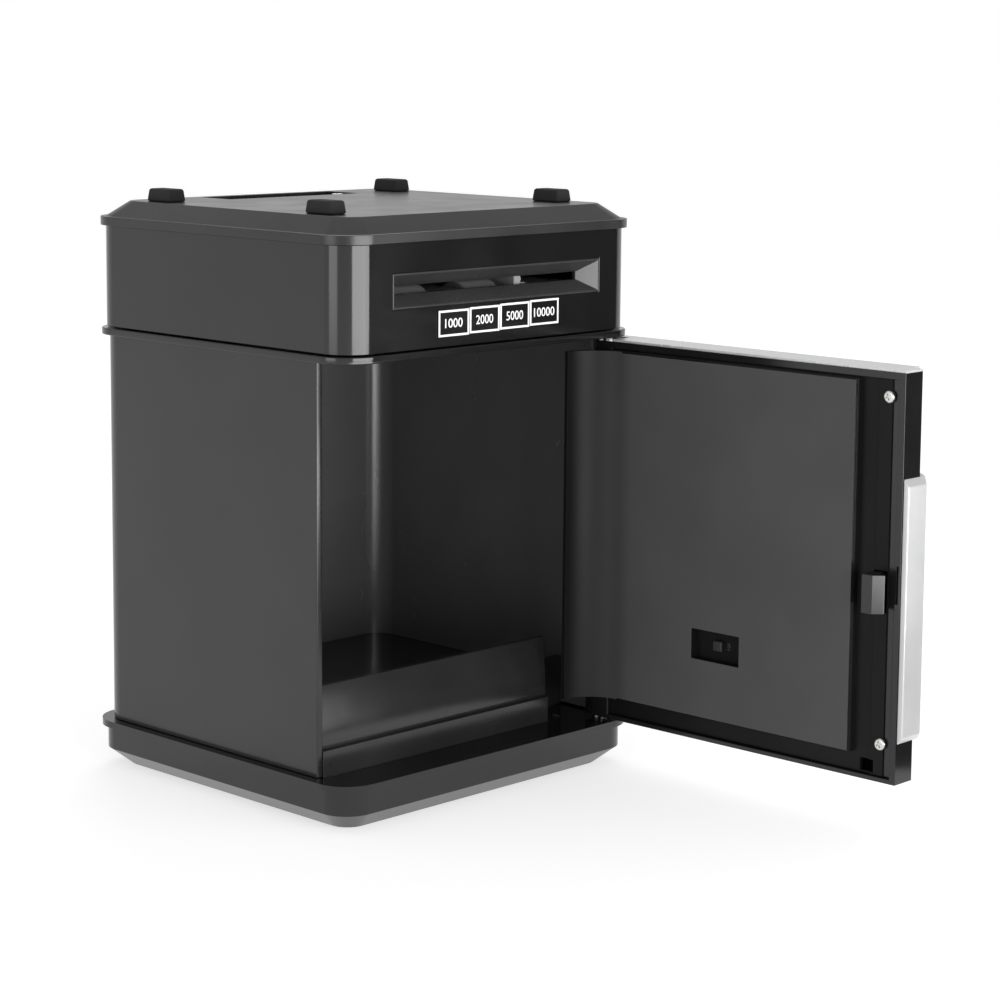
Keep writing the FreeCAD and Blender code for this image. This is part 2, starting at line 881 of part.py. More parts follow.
def speaker():
    z = mid_top
    rim_top = z + speaker_rim
    top = z + speaker_high
    basket = post(speaker_x, speaker_y, speaker_radius, z, rim_top)
    wide = speaker_radius - speaker_step_in
    seat = vec(speaker_x, speaker_y, rim_top)
    step = Part.makeCone(wide, speaker_radius * 0.55, speaker_high - speaker_magnet_low - speaker_rim, seat)
    magnet = post(speaker_x, speaker_y, speaker_radius * 0.5, top - speaker_magnet_low, top + speaker_magnet_high)
    return joined([basket, step, magnet])


# ---- door, drawn shut ----
def door_outline():
    """The frame's plan: a rectangle whose inner hinge corner is rounded about the pin."""
    plan = box(door_free_x, door_hinge_x, frame_back_y, door_in_y, door_bottom, door_top)
    keep = box(door_free_x, hinge_x, frame_back_y - 1, door_in_y + 1, door_bottom, door_top)
    barrel = post(hinge_x, hinge_y, barrel_radius, door_bottom, door_top)
    return plan.common(keep.fuse(barrel)).removeSplitter()


def tray_right():
    """Where the frame's hollow stops, short of the hinge barrel."""
    return hinge_x - barrel_radius - barrel_clear


def pin_bores():
    r = pin_radius + pin_play
    long = pin_in_door + pin_end
    return [post(hinge_x, hinge_y, r, door_bottom - 1, door_bottom + long),
            post(hinge_x, hinge_y, r, door_top - long, door_top + 1)]


def wire_window():
    """The opening behind the keypad board, for its wires."""
    return box(key_centre_x - window_half, key_centre_x + window_half, frame_back_y - 1,
               frame_back_y + frame_skin + 1, key_centre_z - window_half_high,
               key_centre_z + window_half_high)


def door_frame():
    hollow = box(door_free_x + rim_width, tray_right(), frame_back_y + frame_skin, door_in_y + 1,
                 door_bottom + rim_low, door_top - rim_width)
    bosses = []
    for x, z in cover_screw_spots():
        bosses.append(rod_y(boss_radius, frame_back_y + frame_skin - 0.1, flange_y - flange_thick, x, z))
    frame = joined([cut(door_outline(), hollow)] + bosses)
    drills = [rod_y(drill_radius, frame_back_y + frame_skin, door_in_y, x, z) for x, z in cover_screw_spots()]
    nick = box(door_free_x + nick_web, door_free_x + rim_width + 1, door_in_y - nick_deep, door_in_y + 1,
               bolt_low + nick_low, bolt_high + nick_over)
    return cut(frame, pin_bores() + drills + [nick, wire_window()])


def cover_screw_spots():
    x = door_free_x + cover_screw_from_free
    return [(x, door_bottom + cover_screw_low), (x, door_top - cover_screw_down)]


def bolt_slot():
    x0 = door_free_x + bolt_back - bolt_stem - bolt_throw - bolt_play
    x1 = door_free_x + bolt_back + bolt_play
    return box(x0, x1, flange_y - foot_drop, cover_y, bolt_low - bolt_play, bolt_high + bolt_play)


def switch_box_cut():
    x0 = door_free_x + switch_near
    x1 = x0 + switch_long
    return box(x0, x1, cover_y - cover_skin, cover_y + 1, switch_bottom, switch_bottom + switch_high)


def switch_well():
    """The sunk cup round the sound switch."""
    x0 = door_free_x + switch_near
    t = switch_floor
    y0 = cover_y - cover_skin - switch_floor - switch_deep
    z0 = switch_bottom
    z1 = z0 + switch_high
    outer = box(x0 - t, x0 + switch_long + t, y0, cover_y - cover_skin / 2, z0 - t, z1 + t)
    inner = box(x0, x0 + switch_long, y0 + t, cover_y + 1, z0, z1)
    slit_x = x0 + switch_long / 2
    half = (knob_long + knob_travel) / 2 + key_play
    middle = z0 + switch_high / 2
    slit = box(slit_x - half, slit_x + half, y0 - 1, cover_y, middle - slit_half, middle + slit_half)
    return outer, [inner, slit]


def cover_pan():
    """The raised face of the inner cover with its round hinge guard, as a plan swept up Z."""
    t = cover_skin
    gx = guard_centre_x
    gy = guard_centre_y
    tall = cover_high - cover_low
    slab = box(cover_free_x, gx, cover_y - t, cover_y, cover_low, cover_high)
    ring = Part.makeCylinder(guard_radius + t, tall, vec(gx, gy, cover_low))
    ring = ring.cut(Part.makeCylinder(guard_radius, tall, vec(gx, gy, cover_low)))
    ring = ring.common(box(gx, gx + 2 * guard_radius, gy - 2 * guard_radius, gy, cover_low, cover_high))
    y0 = flange_y - flange_thick
    e = cover_edge
    right = tray_right() - fit_gap
    walls = [box(cover_free_x, cover_free_x + e, y0, cover_y - t / 2, cover_low, cover_high),
             box(cover_free_x, right, y0, cover_y - t / 2, cover_low, cover_low + e),
             box(cover_free_x, right, y0, cover_y - t / 2, cover_high - e, cover_high)]
    walls = [w.cut(Part.makeCylinder(guard_radius + t / 2, tall, vec(gx, gy, cover_low))) for w in walls]
    return [slab, ring] + walls


def pan_rims():
    """Wedges that take the corner off the raised face at its free end, top and bottom."""
    x = cover_free_x
    lean = cover_rim_lean
    far = cover_y + 1.0
    low = cover_y - cover_rim_drop
    end = prism_z([(x - 1, low), (x, low), (x + lean, cover_y), (x + lean, far), (x - 1, far)],
                  cover_low - 1, cover_high + 1)
    rims = [end]
    for z, side in ((cover_low, -1), (cover_high, 1)):
        away = z + side
        inner = z - side * lean
        rims.append(prism_x([(low, away), (low, z), (cover_y, inner), (far, inner), (far, away)],
                            x - 1, guard_centre_x))
    return rims


def inner_cover():
    g = fit_gap
    y1 = flange_y
    y0 = flange_y - flange_thick
    x0 = door_free_x + rim_width + g
    right = tray_right() - g
    low = door_bottom + rim_low + g
    high = door_top - rim_width - g
    flange = box(x0, right, y0, y1, low, high)
    e = cover_edge
    window = box(cover_free_x + e, right + 1, y0 - 1, y1 + 1, cover_low + e, cover_high - e)
    ridge = box(door_free_x + ridge_near, door_free_x + ridge_far, y0, y1 + ridge_high, low, high)
    outer, inners = switch_well()
    cover = joined([cut(flange, window), ridge, outer] + cover_pan())
    holes = [rod_y(cover_hole, y0 - 1, y1 + 1, x, z) for x, z in cover_screw_spots()]
    nook = box(door_free_x + nook_near, door_free_x + nook_far, y0 - 1, y1 + 1,
               door_bottom + nook_low, door_bottom + nook_high)
    return cut(cover, inners + pan_rims() + [switch_box_cut(), bolt_slot(), nook] + holes)


def cover_screws():
    screws = []
    for x, z in cover_screw_spots():
        head_y = flange_y + ridge_high
        head = rod_y(cover_pan_head, head_y, head_y + cover_pan_high, x, z)
        screws.append(joined([head, rod_y(drill_radius, frame_back_y + frame_skin, head_y, x, z)]))
    return group(screws)


def fascia_profile(grow, y0, y1, z0, z1):
    x0 = door_free_x + fascia_end - grow
    x1 = door_hinge_x - fascia_side + grow
    return box(x0, x1, y0, y1, z0, z1)


def key_spots():
    spots = []
    for row in range(key_rows):
        for column in range(key_columns):
            x = key_centre_x + (column - (key_columns - 1) / 2) * key_pitch_x
            z = key_centre_z - (row - (key_rows - 1) / 2) * key_pitch_z
            spots.append((x, z))
    return spots


def key_block(x, z, grow, y0, y1):
    w = key_width / 2 + grow
    h = key_high / 2 + grow
    block = box(x - w, x + w, y0, y1, z - h, z + h)
    upright = [e for e in block.Edges if abs(e.Vertexes[0].Y - e.Vertexes[1].Y) > 0.01]
    return block.makeFillet(key_corner + grow, upright)


def lamp_spots():
    top = key_centre_z + (key_rows - 1) / 2 * key_pitch_z + lamp_above_keys
    middle = (lamp_count - 1) / 2
    return [(key_centre_x + (i - middle) * lamp_pitch, top) for i in range(lamp_count)]


def keypad_half():
    wide = (key_columns - 1) / 2 * key_pitch_x + key_width / 2
    high = (key_rows - 1) / 2 * key_pitch_z + key_high / 2
    return wide, high


def fascia():
    """The silver front: a bevelled tray open at the back, with a lip over the frame's top."""
    z0 = door_bottom + fascia_z_inset
    z1 = door_top + fascia_lip
    block = fascia_profile(0, fascia_front_y, frame_back_y, z0, z1)
    rim = [e for e in block.Edges if all(abs(v.Y - fascia_front_y) < 0.01 for v in e.Vertexes)]
    block = block.makeChamfer(fascia_bevel, rim)
    wide, high = keypad_half()
    m = board_margin
    lamp_top = lamp_spots()[0][1] + lamp_radius + m
    r = fascia_rim
    pocket = fascia_profile(-r, fascia_front_y + fascia_skin, frame_back_y, z0 + r, z1 - r)
    p = panel_margin
    panel = box(key_centre_x - wide - p, key_centre_x + wide + p, fascia_front_y - 1,
                fascia_front_y + panel_deep, key_centre_z - high - p, lamp_top + 2)
    tools = [pocket, panel]
    for x, z in key_spots():
        tools.append(key_block(x, z, key_play, fascia_front_y - 1, fascia_front_y + fascia_skin + 1))
    for x, z in lamp_spots():
        tools.append(rod_y(lamp_radius, fascia_front_y - 1, fascia_front_y + fascia_skin + 1, x, z))
    for i in range(rib_count):
        z = door_bottom + rib_first_above + i * rib_pitch
        tools.append(box(key_centre_x - rib_long / 2, key_centre_x + rib_long / 2, fascia_front_y - 1,
                         fascia_front_y + rib_deep, z, z + rib_wide))
    lip = box(door_free_x, tray_right(), frame_back_y, door_in_y - fascia_lip_short, door_top, z1)
    return joined([cut(block, tools), lip])


def key(x, z):
    """A cap through the fascia with a lip behind it that keeps it in."""
    y_top = fascia_front_y - key_proud + panel_deep
    y_lip = fascia_front_y + fascia_skin + key_lip_gap
    cap = key_block(x, z, 0, y_top, y_lip + key_lip_thick)
    edge = [e for e in cap.Edges if all(abs(v.Y - y_top) < 0.01 for v in e.Vertexes)]
    cap = cap.makeChamfer(key_bevel, edge)
    return joined([cap, key_block(x, z, key_lip, y_lip, y_lip + key_lip_thick)])


def keypad_stack(front, thick):
    wide, high = keypad_half()
    m = board_margin - fit_gap
    low = key_centre_z - high - m
    top = lamp_spots()[0][1] + lamp_radius + m
    return box(key_centre_x - wide - m, key_centre_x + wide + m, front, front + thick, low, top)


def keypad_membrane():
    front = stack_front_y
    sheet = keypad_stack(front, membrane_thick)
    return cut(sheet, [rod_y(lamp_radius + lamp_play, front - 1, front + 2, x, z) for x, z in lamp_spots()])


def keypad_board():
    front = stack_front_y + membrane_thick
    return keypad_stack(front, board_thick)


def lamp(x, z):
    y0 = fascia_front_y - lamp_proud + panel_deep
    seat = stack_front_y + membrane_thick
    dome = Part.makeSphere(lamp_radius, vec(x, y0 + lamp_radius, z))
    r = lamp_radius
    dome = dome.common(box(x - r, x + r, y0 - r, y0 + r, z - r, z + r))
    return joined([dome, rod_y(lamp_radius, y0 + lamp_radius, seat, x, z)])


def door_grip():
    """The silver pull that wraps the door's free edge, with sloped ends."""
    x = door_free_x
    y = door_in_y
    p = grip_proud
    t = frame_thick
    far = t + fascia_thick - grip_front_gap
    lap = x + grip_lap
    plan = [(x - p, y - grip_in_y), (x - p, y - t - grip_side_far), (lap - grip_lap_flat, y - far),
            (lap, y - far), (lap, y - t), (x, y - t), (x, y - grip_in_y)]
    z0 = door_bottom + grip_bottom
    z1 = door_top - grip_top_inset
    s = grip_end_slope
    bar = prism_z(plan, z0, z1)
    edge = lap + 1.0
    side = [(x - p, z0 + s), (x, z0), (edge, z0), (edge, z1), (x, z1), (x - p, z1 - s)]
    return bar.common(prism([(px, y - far - 1.0, pz) for px, pz in side], (0, far + 2.0, 0)))


# ---- latch and sound switch, drawn with the door shut ----
def latch_bolt():
    """A hook with a ramp: its stem slides in a slot of the inner cover."""
    x0 = door_free_x + bolt_tip
    x1 = door_free_x + bolt_back
    y0 = door_in_y + bolt_lift
    y1 = y0 + bolt_tall
    plan = [(x0, y0), (x1, y0), (x1, y1), (x0 + bolt_ramp, y1), (x0, y0 + bolt_nose)]
    head = prism_z(plan, bolt_low, bolt_high)
    foot_y = flange_y - foot_drop
    stem = box(x1 - bolt_stem, x1, foot_y - 0.2, y0 + 0.1, bolt_low, bolt_high)
    foot = box(x1 - bolt_stem, x1 + foot_long, foot_y - foot_thick, foot_y, bolt_low, bolt_high)
    return joined([head, stem, foot])


def latch_solenoid():
    x0 = door_free_x + bolt_back + solenoid_from_bolt
    y1 = cover_y - cover_skin - fit_gap
    y0 = frame_back_y + frame_skin
    z = (bolt_low + bolt_high) / 2
    half = solenoid_half
    coil = box(x0, x0 + solenoid_long, y0, y1, z - half, z + half)
    return joined([coil, rod_x(solenoid_rod, x0 - solenoid_rod_out, x0 + 0.1, plunger_y, z)])


def latch_spring():
    """The coiled return spring between the hook's foot and the solenoid's rod."""
    coil = Part.makeHelix(spring_long / spring_turns, spring_long, spring_radius)
    wire = Part.makeCircle(spring_wire, vec(spring_radius, 0, 0), vec(0, 1, 0))
    spring = Part.Wire(coil.Edges).makePipeShell([Part.Wire([wire])], True, True)
    spring.rotate(vec(0, 0, 0), vec(0, 1, 0), 90.0)
    x = door_free_x + bolt_back + foot_long + spring_from_foot
    return spring.translated(vec(x, plunger_y, (bolt_low + bolt_high) / 2))


def sound_knob():
    x = door_free_x + switch_near + switch_long / 2 + knob_shift
    z = switch_bottom + switch_high / 2
    floor_y = cover_y - cover_skin - switch_deep + knob_gap
    w = knob_long / 2
    h = knob_high / 2
    t = w - tongue_inset
    cap = box(x - w, x + w, floor_y, floor_y + knob_proud, z - h, z + h)
    tongue = box(x - t, x + t, floor_y - knob_gap - switch_floor - tongue_long, floor_y + 0.1,
                 z - tongue_half, z + tongue_half)
    return joined([cap, tongue])


def sound_switch():
    x = door_free_x + switch_near + switch_long / 2
    z = switch_bottom + switch_high / 2
    y1 = cover_y - cover_skin - switch_deep - switch_floor - knob_gap
    half = case_half_long
    case = box(x - half, x + half, frame_back_y + frame_skin, y1, z - case_half_high, z + case_half_high)
    w = case_slit_half
    slit = box(x - w, x + w, y1 - case_slit_deep, y1 + 1, z - slit_half, z + slit_half)
    return cut(case, slit)


# ---- write the nodes ----
def standing_nodes():
    return {
        "base_tray": base_tray(),
        "base_screws": base_screws(),
        "base_deck": base_deck(),
        "body_shell": body_shell(),
        "cash_tray": cash_tray(),
        "mid_deck": mid_deck(),
        "hinge_pin_lower": hinge_pin(deck_bottom, door_bottom + pin_in_door),
        "hinge_pin_upper": hinge_pin(door_top - pin_in_door, mid_top),
        "head_shell": head_shell(),
        "slot_bezel": slot_bezel(),
        "label_plates": label_plates(),
        "top_lid": top_lid(),
        "rubber_pads": rubber_pads(),
        "cell_cover": cell_cover(),
        "cell_cover_screw": cell_cover_screw(),
        "cell_box": cell_box(),
        "cells": cells(),
        "cell_contacts": cell_contacts(),
        "roller_brackets": roller_brackets(),
        "note_guide": note_guide(),
        "drive_motor": drive_motor(),
        "motor_cradle": motor_cradle(),
        "board_pillars": board_pillars(),
        "control_board": control_board(),
        "speaker": speaker(),
        "drive_shaft": drive_shaft(),
        "feed_rollers": feed_rollers(),
        "drive_gear": drive_gear(),
        "pinch_shaft": pinch_shaft(),
        "pinch_rollers": pinch_rollers(),
        "motor_shaft": motor_shaft(),
        "motor_pinion": motor_pinion(),
    }


def door_nodes():
    nodes = {
        "door_frame": door_frame(),
        "inner_cover": inner_cover(),
        "cover_screws": cover_screws(),
        "fascia": fascia(),
        "door_grip": door_grip(),
        "keypad_membrane": keypad_membrane(),
        "keypad_board": keypad_board(),
        "latch_bolt": latch_bolt(),
        "latch_solenoid": latch_solenoid(),
        "latch_spring": latch_spring(),
        "sound_switch": sound_switch(),
        "sound_knob": sound_knob(),
    }
    for i, (x, z) in enumerate(lamp_spots()):
        nodes["lamp_%d" % (i + 1)] = lamp(x, z)
    for i, (x, z) in enumerate(key_spots()):
        nodes["key_%02d" % (i + 1)] = key(x, z)
    return nodes


def opened(shape):
    """The shape turned with the door from shut to its open rest place."""
    turned = shape.copy()
    turned.rotate(vec(hinge_x, hinge_y, 0), vec(0, 0, 1), open_angle)
    return turned


def main():
    os.makedirs("parts", exist_ok=True)
    nodes = standing_nodes()
    nodes.update({name: opened(shape) for name, shape in door_nodes().items()})
    for name, shape in nodes.items():
        shape.exportStep("parts/" + name + ".step")
        solids = shape.Solids
        print(name, len(solids), "solids", round(shape.Volume / 1000, 2), "cm3", shape.isValid())


main()
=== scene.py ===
"""Looks of the toy cash-machine money bank: shells, door, note slot and the parts inside, with studio."""

from collections.abc import Callable
from dataclasses import dataclass, field
from enum import Enum
import json
import logging
import math

import bpy
from mathutils import Euler, Matrix, Vector

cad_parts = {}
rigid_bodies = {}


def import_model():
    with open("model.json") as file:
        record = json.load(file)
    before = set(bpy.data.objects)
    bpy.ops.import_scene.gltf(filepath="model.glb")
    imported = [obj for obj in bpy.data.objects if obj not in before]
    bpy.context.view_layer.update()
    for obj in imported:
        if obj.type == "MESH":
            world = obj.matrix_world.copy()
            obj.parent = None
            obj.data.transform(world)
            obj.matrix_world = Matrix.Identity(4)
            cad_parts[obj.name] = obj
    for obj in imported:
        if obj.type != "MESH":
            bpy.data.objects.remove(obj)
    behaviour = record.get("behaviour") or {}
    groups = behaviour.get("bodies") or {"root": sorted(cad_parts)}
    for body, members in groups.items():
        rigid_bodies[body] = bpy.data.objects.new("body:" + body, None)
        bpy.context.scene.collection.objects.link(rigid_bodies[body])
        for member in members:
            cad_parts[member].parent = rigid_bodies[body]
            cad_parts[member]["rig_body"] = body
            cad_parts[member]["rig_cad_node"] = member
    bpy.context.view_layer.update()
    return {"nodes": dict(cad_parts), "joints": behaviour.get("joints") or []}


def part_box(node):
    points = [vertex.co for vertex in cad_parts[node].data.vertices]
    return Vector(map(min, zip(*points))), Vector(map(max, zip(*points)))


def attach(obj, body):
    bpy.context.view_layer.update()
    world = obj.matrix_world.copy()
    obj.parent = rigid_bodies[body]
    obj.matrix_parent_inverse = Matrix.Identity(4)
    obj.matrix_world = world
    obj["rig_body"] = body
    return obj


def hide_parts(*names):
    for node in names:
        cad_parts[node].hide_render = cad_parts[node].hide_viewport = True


LOG = logging.getLogger("money_bank")

# Patterns that every finish shares: repeats per metre, detail, and the band of the noise that counts.
CLOUDS_PER_M = (35.0, 35.0, 35.0)
CLOUDS_DETAIL = 3.0
CLOUDS_BAND = (0.35, 0.65)
SMEARS_PER_M = (60.0, 60.0, 22.0)
SMEARS_DETAIL = 4.0
SMEARS_BAND = (0.3, 0.7)
BRUSHED_DETAIL = 6.0
PEEL_DETAIL = 2.0
COAT_ROUGHNESS = 0.08

# Mesh work: distances in metres, turns in degrees.
WELD = 1.0e-6
SAME_PLANE = 0.6
SHARP_TURN = 30.0
CREASE_TURN = 40.0
ROUND_FACES = 2

# Raised characters, in the text's own units before they are sized.
TEXT_SWELL = 0.006
TEXT_DEEP = 0.5
TEXT_STEPS = 4


# ---------------------------------------------------------------- finishes
class Grain(Enum):
    """How the fine relief of a surface runs."""

    SPARK = "spark"
    ORANGE_PEEL = "orange peel"
    BRUSHED = "brushed"
    SPECKLE = "speckle"


class Nodes:
    """A small builder for one material's node tree."""

    def __init__(self, name: str) -> None:
        """Starts an empty material with a Principled surface.

        Args:
            name: the material's name.
        """
        self.material = bpy.data.materials.new(name)
        self.material.use_nodes = True
        self.tree = self.material.node_tree
        self.tree.nodes.clear()
        self.shader = self.add("ShaderNodeBsdfPrincipled")
        output = self.add("ShaderNodeOutputMaterial")
        self.link(self.shader, "BSDF", output, "Surface")

    def add(self, kind: str, **values: object) -> bpy.types.Node:
        """Adds a node and sets its attributes.

        Args:
            kind: the node's type.
            values: its attributes by name.

        Returns:
            The new node.
        """
        node = self.tree.nodes.new(kind)
        for key, value in values.items():
            setattr(node, key, value)
        return node

    def link(self, a: bpy.types.Node, out: str, b: bpy.types.Node, into: str) -> None:
        """Joins an output of one node to an input of another."""
        self.tree.links.new(a.outputs[out], b.inputs[into])

    def place(self, scale: tuple[float, float, float]) -> bpy.types.Node:
        """Object coordinates through a mapping of the given scale.

        Args:
            scale: pattern repeats per metre along each axis.

        Returns:
            The mapping node.
        """
        coordinates = self.add("ShaderNodeTexCoord")
        mapping = self.add("ShaderNodeMapping")
        mapping.inputs["Scale"].default_value = scale
        self.link(coordinates, "Object", mapping, "Vector")
        return mapping

    def noise(self, scale: tuple[float, float, float], detail: float) -> bpy.types.Node:
        """A noise texture on Object coordinates.

        Args:
            scale: pattern repeats per metre along each axis.
            detail: how many finer layers the noise has.

        Returns:
            The texture node.
        """
        texture = self.add("ShaderNodeTexNoise")
        texture.inputs["Scale"].default_value = 1.0
        texture.inputs["Detail"].default_value = detail
        self.link(self.place(scale), "Vector", texture, "Vector")
        return texture

    def ramp(self, source: bpy.types.Node, out: str, low: float, high: float,
             to_low: float, to_high: float) -> bpy.types.Node:
        """Maps a range of one output to another range.

        Args:
            source: the node that is read.
            out: its output.
            low: the start of the range that is read.
            high: the end of the range that is read.
            to_low: what low becomes.
            to_high: what high becomes.

        Returns:
            The mapping node.
        """
        node = self.add("ShaderNodeMapRange")
        names = ("From Min", "From Max", "To Min", "To Max")
        for key, value in zip(names, (low, high, to_low, to_high)):
            node.inputs[key].default_value = value
        self.link(source, out, node, "Value")
        return node

    def bump(self, source: bpy.types.Node, out: str, height: float) -> None:
        """Turns an output into a relief.

        Args:
            source: the node that is read.
            out: its output.
            height: the relief's height in metres.
        """
        node = self.add("ShaderNodeBump")
        node.inputs["Strength"].default_value = 1.0
        node.inputs["Distance"].default_value = height
        self.link(source, out, node, "Height")
        self.link(node, "Normal", self.shader, "Normal")


@dataclass(frozen=True)
class PaintedShade:
    """A painted shade: a darker tone painted in along Y, taking over between two places in metres."""

    colour: tuple[float, float, float]
    from_y: float
    to_y: float


@dataclass(frozen=True)
class Finish:
    """One surface finish: its base colour, gloss and fine relief.

    Each material is procedural on Object coordinates: two close tones mixed by a broad noise, a
    roughness that wanders between two values, and a relief of the grain's kind.
    """

    name: str
    colour: tuple[float, float, float]
    second: tuple[float, float, float]
    rough: tuple[float, float]
    metal: float = 0.0
    grain: Grain = Grain.ORANGE_PEEL
    grain_per_m: float = 900.0
    relief: float = 2.0e-6
    coat: float = 0.0
    gleam: float = 0.5
    see_through: float = 0.0
    ior: float = 1.5
    stretch: tuple[float, float, float] = (1.0, 1.0, 1.0)
    # A darker tone painted in along Y as painted shade, for finishes that carry one.
    shade: PaintedShade | None = None

    def material(self) -> bpy.types.Material:
        """The finish as a material, made once and then reused.

        Returns:
            The material.
        """
        found = bpy.data.materials.get(self.name)
        if found is not None:
            return found
        nodes = Nodes(self.name)
        shader = nodes.shader
        shader.inputs["Metallic"].default_value = self.metal
        shader.inputs["IOR"].default_value = self.ior
        shader.inputs["Coat Weight"].default_value = self.coat
        shader.inputs["Coat Roughness"].default_value = COAT_ROUGHNESS
        shader.inputs["Transmission Weight"].default_value = self.see_through
        shader.inputs["Specular IOR Level"].default_value = self.gleam
        self._tones(nodes)
        self._gloss(nodes)
        self._relief(nodes)
        return nodes.material

    def _tones(self, nodes: Nodes) -> None:
        """Mixes the two tones by a broad noise.

        Args:
            nodes: the material's nodes.
        """
        clouds = nodes.noise(CLOUDS_PER_M, CLOUDS_DETAIL)
        mix = nodes.add("ShaderNodeMix", data_type="RGBA")
        mix.inputs["A"].default_value = (*self.colour, 1.0)
        mix.inputs["B"].default_value = (*self.second, 1.0)
        share = nodes.ramp(clouds, "Fac", *CLOUDS_BAND, 0.0, 1.0)
        nodes.link(share, "Result", mix, "Factor")
        if self.shade is not None:
            mix = self._mix_painted_shade(nodes, mix, self.shade)
        nodes.link(mix, "Result", nodes.shader, "Base Color")

    def _mix_painted_shade(self, nodes: Nodes, tones: bpy.types.Node, shade: PaintedShade) -> bpy.types.Node:
        """Lets the painted shade's darker tone take over from the tones along Y.

        Args:
            nodes: the material's nodes.
            tones: the node that mixes the two tones.
            shade: the painted shade's tone that takes over, and where.

        Returns:
            The node that mixes all three.
        """
        split = nodes.add("ShaderNodeSeparateXYZ")
        nodes.link(nodes.place((1.0, 1.0, 1.0)), "Vector", split, "Vector")
        share = nodes.ramp(split, "Y", shade.from_y, shade.to_y, 0.0, 1.0)
        mix = nodes.add("ShaderNodeMix", data_type="RGBA")
        nodes.link(share, "Result", mix, "Factor")
        nodes.link(tones, "Result", mix, "A")
        mix.inputs["B"].default_value = (*shade.colour, 1.0)
        return mix

    def _gloss(self, nodes: Nodes) -> None:
        """Lets the roughness wander between its two values.

        Args:
            nodes: the material's nodes.
        """
        low, high = self.rough
        smears = nodes.noise(SMEARS_PER_M, SMEARS_DETAIL)
        rough = nodes.ramp(smears, "Fac", *SMEARS_BAND, low, high)
        nodes.link(rough, "Result", nodes.shader, "Roughness")

    def _relief(self, nodes: Nodes) -> None:
        """Adds the grain's relief.

        Args:
            nodes: the material's nodes.
        """
        scale = tuple(self.grain_per_m * share for share in self.stretch)
        if self.grain is Grain.SPECKLE:
            cells = nodes.add("ShaderNodeTexVoronoi")
            cells.inputs["Scale"].default_value = 1.0
            nodes.link(nodes.place(scale), "Vector", cells, "Vector")
            nodes.bump(cells, "Distance", self.relief)
        else:
            detail = BRUSHED_DETAIL if self.grain is Grain.BRUSHED else PEEL_DETAIL
            nodes.bump(nodes.noise(scale, detail), "Fac", self.relief)


BLACK_GLOSS = Finish("black_gloss_plastic", (0.0075, 0.0075, 0.0078), (0.0095, 0.0095, 0.0098),
                     (0.1, 0.16), grain_per_m=420.0, relief=2.5e-6)
BLACK_WALL = Finish("black_wall_plastic", (0.011, 0.011, 0.0113), (0.014, 0.014, 0.0143), (0.15, 0.22),
                    grain_per_m=300.0, relief=4.0e-6)
# Painted light: the inside walls are the body's black plastic painted much lighter so that they look lit.
INSIDE_WALLS_PAINTED_LIGHT = Finish("inside_walls_painted_light", (0.085, 0.085, 0.0855), (0.095, 0.095, 0.0955),
                      (0.2, 0.28), grain_per_m=300.0, relief=4.0e-6)
# Painted light and shade: the pan is the cover's black plastic painted lighter so that it looks lit, and a
# painted shade darkens it towards the guard at the hinge.
PAN_PAINTED_LIGHT_AND_SHADE = Finish("pan_painted_light_and_shade", (0.062, 0.062, 0.0625), (0.068, 0.068, 0.0685), (0.4, 0.5),
                   gleam=0.12, grain=Grain.SPECKLE, grain_per_m=2600.0, relief=6.0e-6,
                   shade=PaintedShade((0.006, 0.006, 0.006), -0.073, -0.056))
BLACK_FLANGE = Finish("black_fine_flange", (0.006, 0.006, 0.006), (0.008, 0.008, 0.008), (0.3, 0.4),
                      gleam=0.12, grain=Grain.SPECKLE, grain_per_m=2600.0, relief=4.0e-6)
BLACK_RIM = Finish("black_polished_rim", (0.01, 0.01, 0.0103), (0.013, 0.013, 0.0133), (0.08, 0.12),
                   gleam=0.9, grain_per_m=420.0, relief=2.0e-6)
BLACK_TRAY = Finish("black_tray_plastic", (0.016, 0.016, 0.0163), (0.02, 0.02, 0.0203), (0.15, 0.22),
                    grain_per_m=300.0, relief=4.0e-6)
# Painted reflection: the slot bezel is black plastic painted lighter, standing in for the pale floor that
# its facets reflect.
SLOT_PAINTED_REFLECTION = Finish("slot_painted_reflection", (0.03, 0.03, 0.0305), (0.036, 0.036, 0.0365), (0.2, 0.3),
                    grain_per_m=420.0, relief=2.5e-6)
BLACK_SATIN = Finish("black_satin_plastic", (0.012, 0.012, 0.0125), (0.017, 0.017, 0.0175), (0.35, 0.45),
                     grain=Grain.SPECKLE, grain_per_m=1800.0, relief=1.2e-5)
LID_SATIN = Finish("lid_satin_plastic", (0.009, 0.009, 0.0093), (0.013, 0.013, 0.0133), (0.27, 0.35),
                   grain=Grain.SPECKLE, grain_per_m=1500.0, relief=1.0e-5)
SILVER_PAINT = Finish("silver_sprayed_plastic", (0.6, 0.605, 0.61), (0.65, 0.655, 0.66), (0.24, 0.32),
                      metal=0.35, grain=Grain.SPECKLE, grain_per_m=3500.0, relief=6.0e-6, coat=0.3)
BRUSHED = Finish("brushed_silver_grip", (0.5, 0.5, 0.505), (0.56, 0.56, 0.565), (0.26, 0.36),
                 metal=0.35, grain=Grain.BRUSHED, grain_per_m=260.0, relief=1.2e-5,
                 stretch=(12.0, 12.0, 0.35))
RUBBER = Finish("pad_rubber", (0.002, 0.002, 0.002), (0.004, 0.004, 0.004), (0.24, 0.34), gleam=0.12,
                grain=Grain.SPECKLE, grain_per_m=1500.0, relief=1.5e-5)
ROLLER = Finish("roller_rubber", (0.3, 0.3, 0.3), (0.36, 0.36, 0.36), (0.45, 0.6),
                grain=Grain.SPECKLE, grain_per_m=2500.0, relief=2.0e-5)
